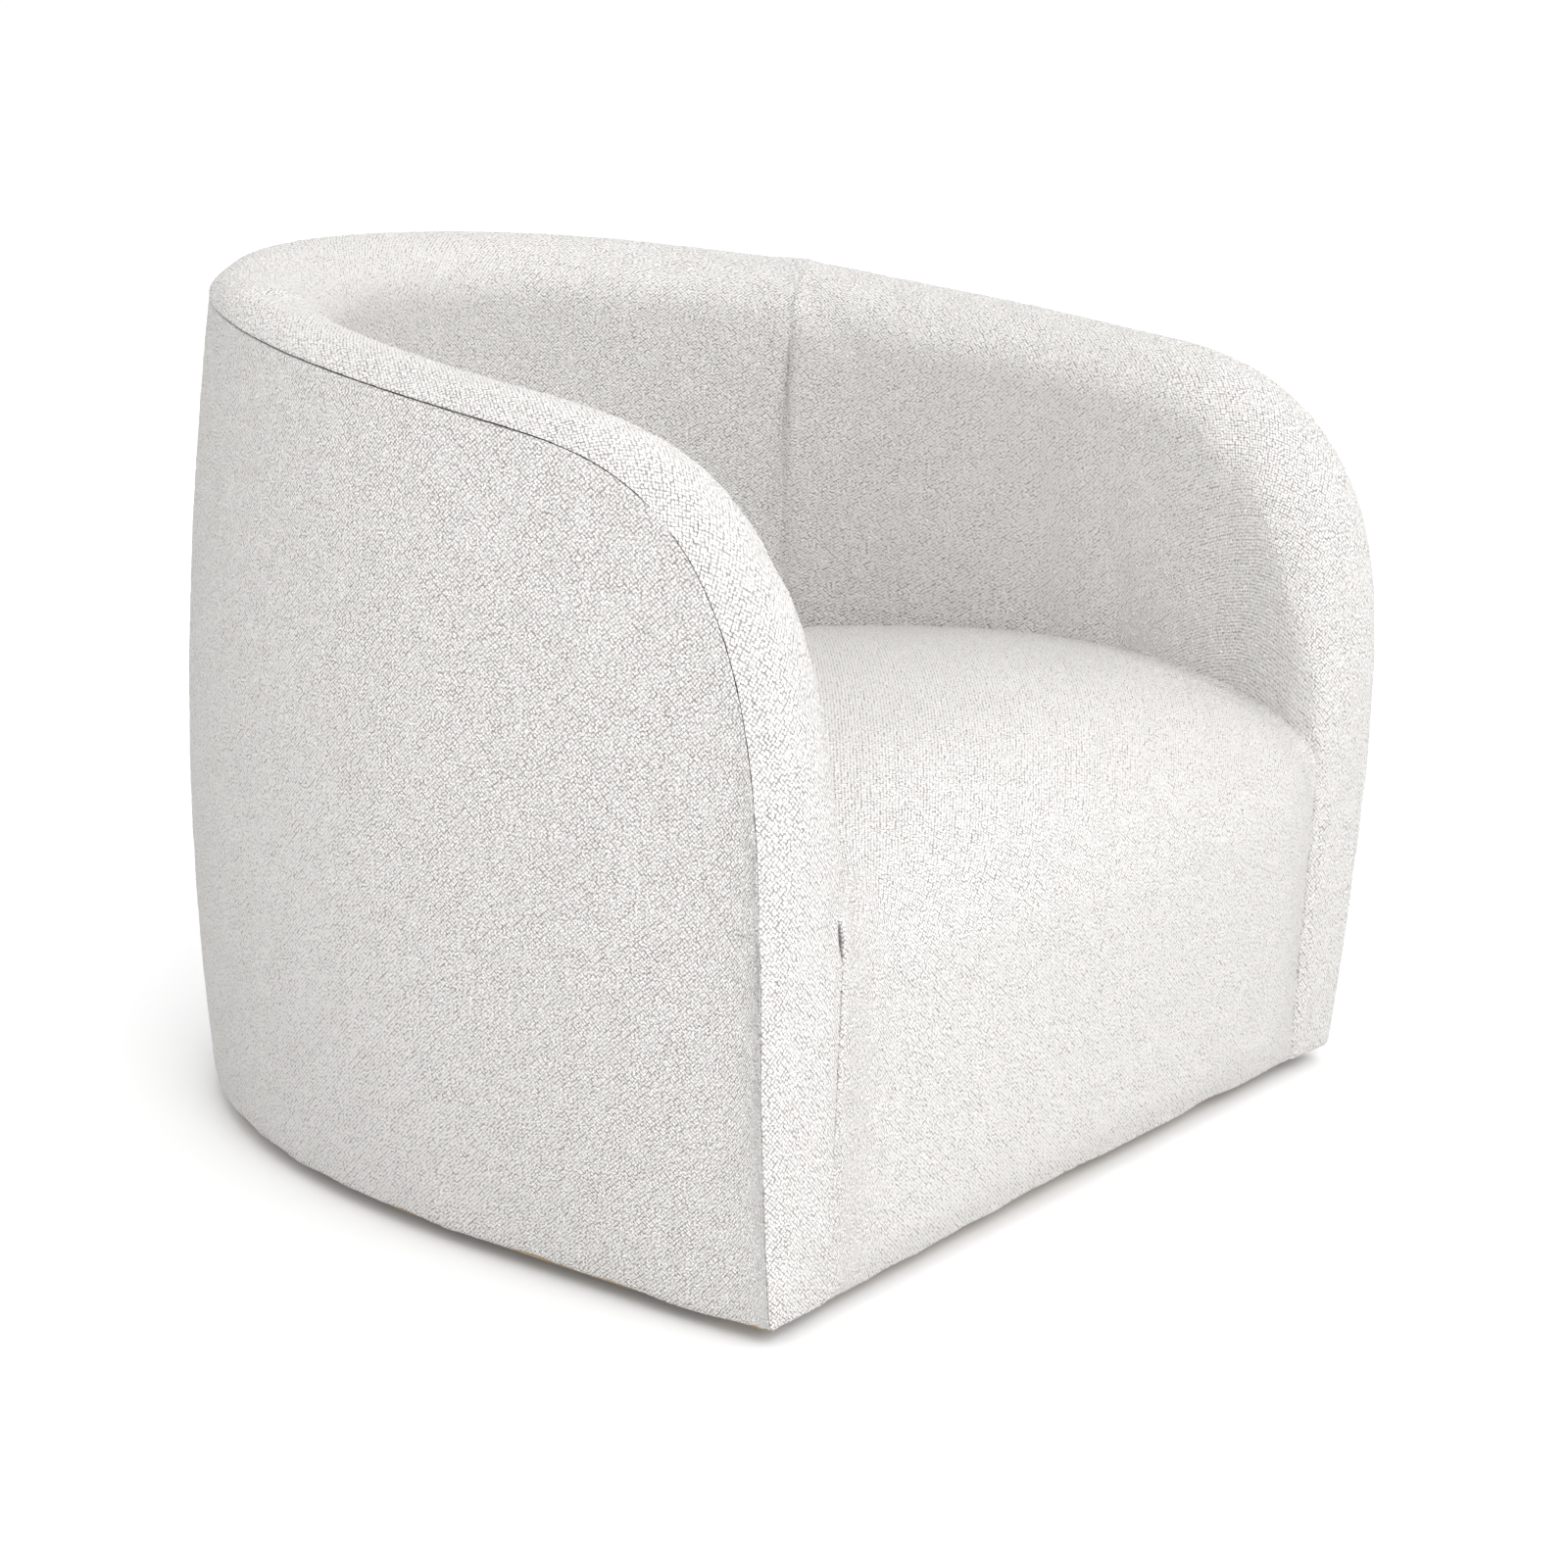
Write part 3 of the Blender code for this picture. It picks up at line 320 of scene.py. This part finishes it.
def rim_station(s, seam=SIDE_SEAM):
    """Outer seam: s 0..1 up the arm front, 1..2 round the turn, 2..3 back to the given seam."""
    s = min(max(s, 0.0), 3.0)
    if s <= 1.0:
        return 0.0, HEM + (TURN_HEIGHT - HEM) * s
    if s <= 2.0:
        angle = (s - 1.0) * math.pi / 2
        front = WIDEST_Y - front_reach(TURN_HEIGHT)
        y = TURN_Y + (front - TURN_Y) * max(math.cos(angle), 0.0) ** (2.0 / TURN_ROUND)
        rise = seam_height(y) - TURN_HEIGHT
        z = TURN_HEIGHT + rise * math.sin(angle) ** (2.0 / TURN_ROUND)
        return max(tau_at(y, z), 0.0), z
    tau = TURN_TAU + (1.0 - seam - TURN_TAU) * (s - 2.0)
    return tau, seam_at_tau(tau)


def rim_outward(w_of, z_of, s):
    """Direction across the rim, away from the outside panel, at station s."""
    step = 0.01
    before = wall(w_of(s - step), z_of(s - step), 0.0)
    after = wall(w_of(s + step), z_of(s + step), 0.0)
    into = wall(w_of(s), z_of(s), 0.01) - wall(w_of(s), z_of(s), 0.0)
    out = (after - before).cross(into).normalized()
    if out.z - 0.5 * out.y < 0.0:
        out.negate()
    return out


def inside_point(w_of, z_of, w_foot, z_foot, s, v, under):
    """v 0..RIM_SHARE goes over the roll from the outer seam, then down the inner face."""
    w, z = w_of(s), z_of(s)
    out = rim_outward(w_of, z_of, s)
    crest = FRONT_CREST + (ROLL_CREST - FRONT_CREST) * blend(TURN_HEIGHT, ROLL_FULL, z)
    tilt = ROLL_TILT * blend(ROLL_LOW, ROLL_FULL, z) + EDGE_TILT
    full = thickness(w, z)
    if v <= RIM_SHARE:
        angle = v / RIM_SHARE * math.pi
        part = (1.0 - math.cos(angle)) / 2
        across = under + (full - 2 * under) * part
        fullness = 0.40 + 0.50 * blend(TURN_HEIGHT, ROLL_FULL, z)
        rise = (crest - under) * max(math.sin(angle), 0.0) ** fullness - tilt * part
        return wall(w, z, across) + out * rise
    down = (v - RIM_SHARE) / (1.0 - RIM_SHARE)
    w1 = w + (w_foot(s) - w) * down
    z1 = z + (z_foot(s) - z) * down
    return wall(w1, z1, thickness(w1, z1) - under) - out * tilt * (1.0 - down)


def shares(length, step):
    """Shares of a length from 0 to 1, closer together at both ends."""
    count = max(round(length / step), 4)
    near = [edge / length for edge in EDGE_STEPS]
    return [0.0, *near, *(i / count for i in range(1, count)), *(1.0 - n for n in near[::-1]), 1.0]


def turned_in(distance, depth, reach):
    """How far the cloth dips at this distance from a sewn edge: a quarter round."""
    if distance >= reach:
        return 0.0
    return depth * (1.0 - math.sqrt(1.0 - (1.0 - distance / reach) ** 2))


def cloth_grid(columns, rows, place):
    """A grid of cloth over the surface place(u, v), evenly spaced, with its own map in metres."""
    shape = bmesh.new()
    last_i, last_j = len(columns) - 1, len(rows) - 1
    bmesh.ops.create_grid(shape, x_segments=last_i, y_segments=last_j, size=0.5)
    tries = [(1.0 - math.cos(math.pi * k / 60)) / 2 for k in range(61)]
    even = []
    for u in columns:
        line = [place(u, v) for v in tries]
        gone = [0.0]
        for a, b in zip(line, line[1:]):
            gone.append(gone[-1] + (b - a).length)
        even.append(np.interp([row * gone[-1] for row in rows], gone, tries))
    spot = {}
    for vert in shape.verts:
        i, j = round((vert.co.x + 0.5) * last_i), round((vert.co.y + 0.5) * last_j)
        vert.co = place(columns[i], float(even[i][j]))
        spot[i, j] = vert
    across = {(0, j): 0.0 for j in range(last_j + 1)}
    middle = last_j // 3
    for i in range(1, last_i + 1):
        gone = across[i - 1, 0] + (spot[i, middle].co - spot[i - 1, middle].co).length
        across.update({(i, j): gone for j in range(last_j + 1)})
    along = {}
    for i in range(last_i + 1):
        along[i, 0] = 0.0
        for j in range(1, last_j + 1):
            along[i, j] = along[i, j - 1] + (spot[i, j].co - spot[i, j - 1].co).length
    layer = shape.loops.layers.uv.new("cloth")
    where = {vert: key for key, vert in spot.items()}
    for face in shape.faces:
        for loop in face.loops:
            key = where[loop.vert]
            loop[layer].uv = (across[key], along[key])
    return shape


def closed_piece(name, shape, depth, mat, outward):
    """Give the cloth its depth, closed all round, and make it an object with a held group."""
    bmesh.ops.recalc_face_normals(shape, faces=shape.faces)
    facing = sum(face.calc_area() * face.normal.dot(outward(face.calc_center_median()))
                 for face in shape.faces)
    if facing < 0.0:
        bmesh.ops.reverse_faces(shape, faces=shape.faces)
    shape.normal_update()
    held = shape.verts.layers.deform.verify()
    outer = list(shape.verts)
    edge = {vert for vert in outer if vert.is_boundary}
    made = bmesh.ops.solidify(shape, geom=list(shape.faces), thickness=depth)
    for item in made["geom"]:
        if isinstance(item, bmesh.types.BMVert) and item.is_valid:
            item[held][0] = 1.0
    for vert in outer:
        vert[held][0] = 1.0 if vert in edge else 0.0
    bmesh.ops.recalc_face_normals(shape, faces=shape.faces)
    mesh = bpy.data.meshes.new(name)
    shape.to_mesh(mesh)
    shape.free()
    mesh.shade_smooth()
    mesh.materials.append(mat)
    piece = bpy.data.objects.new(name, mesh)
    piece.vertex_groups.new(name="held")
    bpy.context.scene.collection.objects.link(piece)
    return piece


def inflate(piece, cap):
    """Swell the pad with air under its cloth, held at its back and edges, by cap at the most."""
    rest = np.empty(len(piece.data.vertices) * 3)
    piece.data.vertices.foreach_get("co", rest)
    rest = rest.reshape(-1, 3)
    cloth = piece.modifiers.new("air", "CLOTH")
    cloth.settings.quality = 5
    cloth.settings.mass = 0.3
    cloth.settings.tension_stiffness = 12.0
    cloth.settings.compression_stiffness = 12.0
    cloth.settings.bending_stiffness = 1.5
    cloth.settings.use_pressure = True
    cloth.settings.uniform_pressure_force = 4.0
    cloth.settings.effector_weights.gravity = 0.0
    cloth.settings.vertex_group_mass = "held"
    cloth.collision_settings.use_collision = False
    for step in range(1, 21):
        bpy.context.scene.frame_set(step)
    found = piece.evaluated_get(bpy.context.evaluated_depsgraph_get())
    risen = np.empty(len(rest) * 3)
    found.data.vertices.foreach_get("co", risen)
    moved = risen.reshape(-1, 3) - rest
    far = np.linalg.norm(moved, axis=1, keepdims=True)
    kept = rest + moved * np.minimum(1.0, cap / np.maximum(far, 1e-9))
    piece.modifiers.remove(cloth)
    bpy.context.scene.frame_set(1)
    piece.data.vertices.foreach_set("co", kept.ravel())
    piece.data.update()


def raise_loops(piece, levels, loop_rise=0.00055, ripple=0.0003):
    """Subdivide the cloth, raise its loops and the slow unevenness of the weave, and let the hem wave."""
    smooth = piece.modifiers.new("fine cloth", "SUBSURF")
    smooth.levels = smooth.render_levels = levels
    found = piece.evaluated_get(bpy.context.evaluated_depsgraph_get())
    fine = bpy.data.meshes.new_from_object(found)
    coarse = piece.data
    piece.modifiers.remove(smooth)
    piece.data = fine
    bpy.data.meshes.remove(coarse)
    fine.name = piece.name
    count = len(fine.vertices)
    places, normals = np.empty(count * 3), np.empty(count * 3)
    fine.vertices.foreach_get("co", places)
    fine.vertices.foreach_get("normal", normals)
    places, normals = places.reshape(-1, 3), normals.reshape(-1, 3)
    firm = [sum(g.weight for g in vert.groups) for vert in fine.vertices]
    rise, drop = np.empty(count), np.empty(count)
    for index, place in enumerate(places):
        spot = Vector(place)
        nub = 0.5 - noise.noise(spot / 0.0062, noise_basis="VORONOI_F1")
        rise[index] = (loop_rise * nub + ripple * noise.noise(spot / 0.030)) * (1.0 - 0.8 * firm[index])
        slack = max(0.0, 1.0 - (spot.z - HEM) / HEM_SLACK)
        drop[index] = HEM_WAVE * slack * noise.noise(Vector((spot.x, spot.y, 0.0)) / 0.055)
    raised = places + normals * rise[:, None]
    raised[:, 2] += drop
    fine.vertices.foreach_set("co", raised.ravel())
    fine.shade_smooth()
    fine.update()


def up_and_forward(place):
    """The way that most of a pad's cloth faces."""
    return Vector((0.0, -0.5, 1.0))


ARM_ROWS = shares(0.50, PAD_STEP)
ARM_COLUMNS = [3.0 * u for u in shares(1.26, PAD_STEP)]


def arm_pad(side, word):
    def w_of(s):
        return side * (1.0 - rim_station(s)[0])

    def z_of(s):
        return rim_station(s)[1]

    def w_foot(s):
        if s <= 1.0:
            tau = FLANGE_TAU
        elif s <= 2.0:
            tau = FLANGE_TAU + (FOOT_TAU - FLANGE_TAU) * (s - 1.0)
        else:
            tau = FOOT_TAU + (1.0 - SIDE_SEAM - FOOT_TAU) * (s - 2.0)
        return side * (1.0 - tau)

    def z_foot(s):
        return min(z_of(s), TURN_HEIGHT + (TUCK_Z - TURN_HEIGHT) * min(max(s - 1.0, 0.0), 1.0))

    def place(s, v):
        sewn = turned_in((3.0 - s) * 0.42, 0.0008, 0.004) + turned_in(s * 0.257, 0.0040, 0.008)
        return inside_point(w_of, z_of, w_foot, z_foot, s, v, PAD_UNDER * blend(0.0, 0.05, v) + sewn)

    piece = closed_piece("arm_pad_" + word, cloth_grid(ARM_COLUMNS, ARM_ROWS, place),
                         PAD_DEPTH, ivory_boucle, up_and_forward)
    inflate(piece, PAD_SWELL)
    raise_loops(piece, 2)
    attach(piece, "chair")
    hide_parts("inside_cover_" + word, "inside_foam_" + word)


arm_pad(-1, "left")
arm_pad(1, "right")

# ------------------------------------------------------------------ inside back pad
# The same boucle over foam covers the back's roll and its inner face in one piece.
# It is sewn to the arm pads by an upright seam on each side, and is fullest just over the seat.
BACK_ROWS = shares(0.56, PAD_STEP)
BACK_COLUMNS = shares(0.84, PAD_STEP)
BACK_SPREAD = SIDE_SEAM + 0.0030


def back_place(u, v):
    s = (u - 0.5) * 2.0 * BACK_SPREAD
    sewn = turned_in(min(u, 1.0 - u) * 0.84, 0.0008, 0.004)
    return inside_point(lambda t: t, lambda t: seam_at_tau(1.0 - abs(t)), lambda t: t,
                        lambda t: TUCK_Z, s, v, PAD_UNDER * blend(0.0, 0.05, v) + sewn)


back_pad = closed_piece("back_pad", cloth_grid(BACK_COLUMNS, BACK_ROWS, back_place),
                        PAD_DEPTH, ivory_boucle, up_and_forward)
inflate(back_pad, PAD_SWELL)
raise_loops(back_pad, 2)
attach(back_pad, "chair")
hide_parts("inside_cover_back", "inside_foam_back")

# ------------------------------------------------------------------ seat pad
# A fixed seat of thick foam: one piece of boucle runs from the hem up the front, over a long
# rounded edge and across the domed top, and is tucked down against the arms and the back.
SEAT_PRESS = 0.0060         # the seat is pressed this far against the arm pads
SEAT_TURN = 0.282           # the seat front is straight up to here
SEAT_ROUND = 0.250          # length of the rounded front edge
SEAT_EDGE = 0.366           # height of the seat along the arms
SEAT_CROWN = 0.020          # rise of the middle over that
SEAT_SAG = 0.0185           # fall of the seat towards the back
WELL_Z, WELL_EXTRA = 0.354, 0.0065


def seat_half(y, z):
    """Half width of the seat at station y and height z, where it meets the arm pads."""
    w = 1.0 - max(tau_at(y, z), 0.0)
    return wall(w, z, thickness(w, z)).x + SEAT_PRESS


def well_line(count):
    """Rear outline of the seat for the right half, from the widest place to the middle."""
    line = []
    for i in range(count + 1):
        w = 1.0 - i / count
        point = wall(w, WELL_Z, thickness(w, WELL_Z) + WELL_EXTRA)
        if point.y > WIDEST_Y:
            line.append((point.x, point.y))
    return line


rear_line = well_line(200)


def seat_rear(x):
    x = min(abs(x), rear_line[0][0])
    for (xa, ya), (xb, yb) in zip(rear_line, rear_line[1:]):
        if xb <= x <= xa and xa > xb:
            return ya + (yb - ya) * (xa - x) / (xa - xb)
    return rear_line[-1][1]


def seat_front(z):
    return WIDEST_Y - front_reach(z)


def seat_height(side, y, rear):
    """Height of the seat's top behind its front edge; side runs from 0 in the middle to 1 at an arm."""
    back = min(max((y + 0.15) / 0.25, 0.0), 1.35)
    room = min(max((rear - y) / 0.16, 0.0), 1.0)
    dome = SEAT_CROWN * (1.0 - side ** 2.2) ** 0.8 * math.sin(room * math.pi / 2) ** 0.8
    top = SEAT_EDGE - SEAT_SAG * back ** 1.6 + dome
    share = min((y - seat_front(SEAT_TURN)) / SEAT_ROUND, 1.0)
    return SEAT_TURN + (top - SEAT_TURN) * (1.0 - (1.0 - share) ** 2.1) ** (1.0 / 2.1)


FRONT_PART, NOSE_PART = 0.30, 0.60      # shares of the seat's length: straight front, rounded edge
LEAN_FROM = 0.42            # from here on the seat's sides dip towards the arms


SEAT_HALF = seat_half(seat_front(SEAT_TURN) + SEAT_ROUND, SEAT_EDGE)
SEAT_REAR = seat_rear(SEAT_HALF)


def seat_place(u, v):
    across = 2.0 * u - 1.0
    from_arm = min(u, 1.0 - u) * 2.0 * SEAT_HALF
    sewn = turned_in(from_arm, 0.007, 0.012)
    crease = turned_in(from_arm, 0.0015, 0.004)
    if v <= FRONT_PART:
        z = HEM + 0.0005 + (SEAT_TURN - HEM) * v / FRONT_PART
        dip = turned_in(v / FRONT_PART * 0.268, 0.004, 0.008)
        y = seat_front(z) + 0.0005 + dip + crease
        return Vector((across * seat_half(seat_front(z), z), y, z))
    front = seat_front(SEAT_TURN) + 0.0005
    if v <= NOSE_PART:
        angle = (v - FRONT_PART) / (NOSE_PART - FRONT_PART) * math.pi / 2
        y = front + SEAT_ROUND * (1.0 - math.cos(angle))
        half = seat_half(y, seat_height(1.0, y, SEAT_REAR))
    else:
        half = SEAT_HALF
        start = front + SEAT_ROUND
        rear = seat_rear(across * half)
        y = start + (rear - start) * (v - NOSE_PART) / (1.0 - NOSE_PART)
    lean = blend(LEAN_FROM, NOSE_PART, v)
    drop = sewn * lean + turned_in((1.0 - v) * 1.0, 0.014, 0.018)
    height = seat_height(abs(across), y, seat_rear(across * half))
    return Vector((across * half, y + crease * (1.0 - lean), height - drop))


seat_pad = closed_piece("seat_pad", cloth_grid(shares(0.667, PAD_STEP), shares(0.98, PAD_STEP), seat_place),
                        0.020, ivory_boucle, up_and_forward)
inflate(seat_pad, 0.006)
raise_loops(seat_pad, 2)
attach(seat_pad, "chair")
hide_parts("seat_cover", "seat_foam")

# ------------------------------------------------------------------ outside panels
# Three flat-cut panels of boucle are stretched over the outer boards, one on each side and one behind.
# Their edges turn in at the seams, and the hem is folded under and stapled to the bottom rails.
CLOTH_THICK = 0.0024
SEAM_DROP = 0.0002          # the panels stop this far under the outer seam
PANEL_STEP = 0.0150
REAR_LAP = 0.0015           # the back panel's sides reach this far past the seam, under the side panels


def outside_panel(side, word, length, tall):
    def arm_w(s):
        return side * (1.0 - rim_station(s, REAR_SEAM)[0])

    def arm_z(s):
        return rim_station(s, REAR_SEAM)[1]

    def place(u, v):
        sewn = turned_in((1.0 - v) * tall, 0.0008, 0.004) + turned_in(v * tall, 0.0040, 0.008)
        if side == 0:
            sewn += turned_in(min(u, 1.0 - u) * length, 0.0012, 0.004)
            w = (u - 0.5) * 2.0 * (REAR_SEAM + REAR_LAP)
            top = seam_at_tau(1.0 - abs(w)) - SEAM_DROP
            return wall(w, HEM + (top - HEM) * v, 0.0004 + sewn)
        s = 1.0 + 2.0 * u
        sewn += turned_in((3.0 - s) * length / 2, 0.0010, 0.004)
        sewn += turned_in(u * length, 0.0010, 0.004) * (1.0 - v)
        back_off = rim_outward(arm_w, arm_z, s) * SEAM_DROP * max(v, 1.0 - u * 5.0)
        return wall(arm_w(s), HEM + (arm_z(s) - HEM) * v, 0.0004 + sewn) - back_off

    piece = closed_piece("outside_panel_" + word,
                         cloth_grid(shares(length, PANEL_STEP), shares(tall, PANEL_STEP), place),
                         CLOTH_THICK, ivory_boucle,
                         lambda spot: Vector((spot.x, spot.y + 0.1, 0.0)))
    raise_loops(piece, 2)
    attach(piece, "chair")
    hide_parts("outside_cover_" + word)


outside_panel(-1, "left", 0.86, 0.655)
outside_panel(1, "right", 0.86, 0.655)
outside_panel(0, "back", 0.41, 0.735)

# ------------------------------------------------------------------ hidden frame
# Birch plywood boards, pine rails, zig-zag springs of bright wire and zinc-plated swivel plates.
# All of it is inside the covers and only seen from below.
def plain_material(name, colour, second, scale, roughness, metallic, stretch, relief):
    mat = bpy.data.materials.new(name)
    mat.use_nodes = True
    tree = mat.node_tree
    shader = tree.nodes["Principled BSDF"]
    spots = node(tree, "ShaderNodeTexCoord")
    turned = node(tree, "ShaderNodeMapping", {"Vector": spots.outputs["Object"], "Scale": stretch})
    grain = node(tree, "ShaderNodeTexNoise",
                 {"Vector": turned.outputs[0], "Scale": scale, "Detail": 4.0, "Distortion": 0.4})
    tone = node(tree, "ShaderNodeMix",
                {"Factor": grain.outputs["Fac"], "A": linear(colour), "B": linear(second)},
                data_type="RGBA")
    bump = node(tree, "ShaderNodeBump",
                {"Height": grain.outputs["Fac"], "Distance": relief, "Strength": 0.5})
    tree.links.new(tone.outputs["Result"], shader.inputs["Base Color"])
    tree.links.new(bump.outputs[0], shader.inputs["Normal"])
    shader.inputs["Roughness"].default_value = roughness
    shader.inputs["Metallic"].default_value = metallic
    return mat


birch_plywood = plain_material("birch plywood, sanded", "#D8BE93", "#B99766", 12.0, 0.6, 0.0,
                               (1.0, 1.0, 30.0), 0.0003)
pine = plain_material("pine, planed", "#D9B98A", "#B98F5A", 10.0, 0.55, 0.0, (1.0, 9.0, 9.0), 0.0003)
fibre_board = plain_material("fibre board, pressed", "#A58F70", "#8A7456", 240.0, 0.9, 0.0,
                             (1.0, 1.0, 1.0), 0.0002)
spring_wire = plain_material("spring steel wire, drawn", "#8D9094", "#6F7276", 300.0, 0.35, 1.0,
                             (1.0, 1.0, 1.0), 0.0001)
zinc = plain_material("zinc-plated steel, pressed", "#B9BBBE", "#9EA1A5", 60.0, 0.32, 1.0,
                      (1.0, 1.0, 1.0), 0.0001)
glide_plastic = plain_material("polypropylene, moulded", "#1E1E20", "#29292B", 500.0, 0.5, 0.0,
                               (1.0, 1.0, 1.0), 0.00005)
dust_cloth = plain_material("spun polypropylene cloth, black", "#1B1B1D", "#2C2C2E", 700.0, 0.9, 0.0,
                            (1.0, 1.0, 1.0), 0.0002)
finishes = {
    "arm_former": birch_plywood, "arm_rail": birch_plywood, "back_top_rail": birch_plywood,
    "base_board": birch_plywood, "bottom_rail": birch_plywood, "front_board": birch_plywood,
    "cross_member": pine, "rear_post": pine, "seat_rail": pine, "outside_liner": fibre_board,
    "spring": spring_wire, "clip": spring_wire, "lower_s": zinc, "upper_s": zinc,
    "ball_cage": zinc, "glide": glide_plastic, "dust_cover": dust_cloth,
}
for name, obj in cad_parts.items():
    for start, mat in finishes.items():
        if name.startswith(start):
            obj.data.materials.clear()
            obj.data.materials.append(mat)

# ------------------------------------------------------------------ dust cover
# A thin black cloth is stretched under the bottom rails and stapled to them, so that no spring shows.
# It has a round opening for the swivel base, and it hangs down a little between its staples.
DUST_END, DUST_INSET = 0.93, 0.016  # front ends along the wall, and inset from the outside face
DUST_HOLE = 0.274                   # radius of the opening
DUST_THICK, DUST_SAG = 0.0010, 0.0012
FRONT_EDGE = 0.22                   # share of the cloth's girth along the front
dust_low, dust_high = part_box("dust_cover")


def dust_edge(u):
    """Outer edge of the cloth: along the front from right to left, then round the sides and back."""
    if u < FRONT_EDGE:
        right = wall(DUST_END, HEM, DUST_INSET)
        return Vector((right.x * (1.0 - 2.0 * u / FRONT_EDGE), right.y, 0.0))
    w = DUST_END * (2.0 * (u - FRONT_EDGE) / (1.0 - FRONT_EDGE) - 1.0)
    edge = wall(w, HEM, DUST_INSET)
    return Vector((edge.x, edge.y, 0.0))


def dust_place(u, v):
    edge = dust_edge(u)
    hole = edge.normalized() * DUST_HOLE
    spot = hole + (edge - hole) * v
    spot.z = dust_low[2] + DUST_SAG * (1.0 - math.sin(math.pi * v))
    return spot


dust_shape = cloth_grid([i / 96 for i in range(97)], [j / 8 for j in range(9)], dust_place)
bmesh.ops.remove_doubles(dust_shape, verts=dust_shape.verts, dist=0.00001)
dust_sheet = closed_piece("dust_sheet", dust_shape, DUST_THICK, dust_cloth,
                          lambda spot: Vector((0.0, 0.0, -1.0)))
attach(dust_sheet, "chair")
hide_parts("dust_cover")
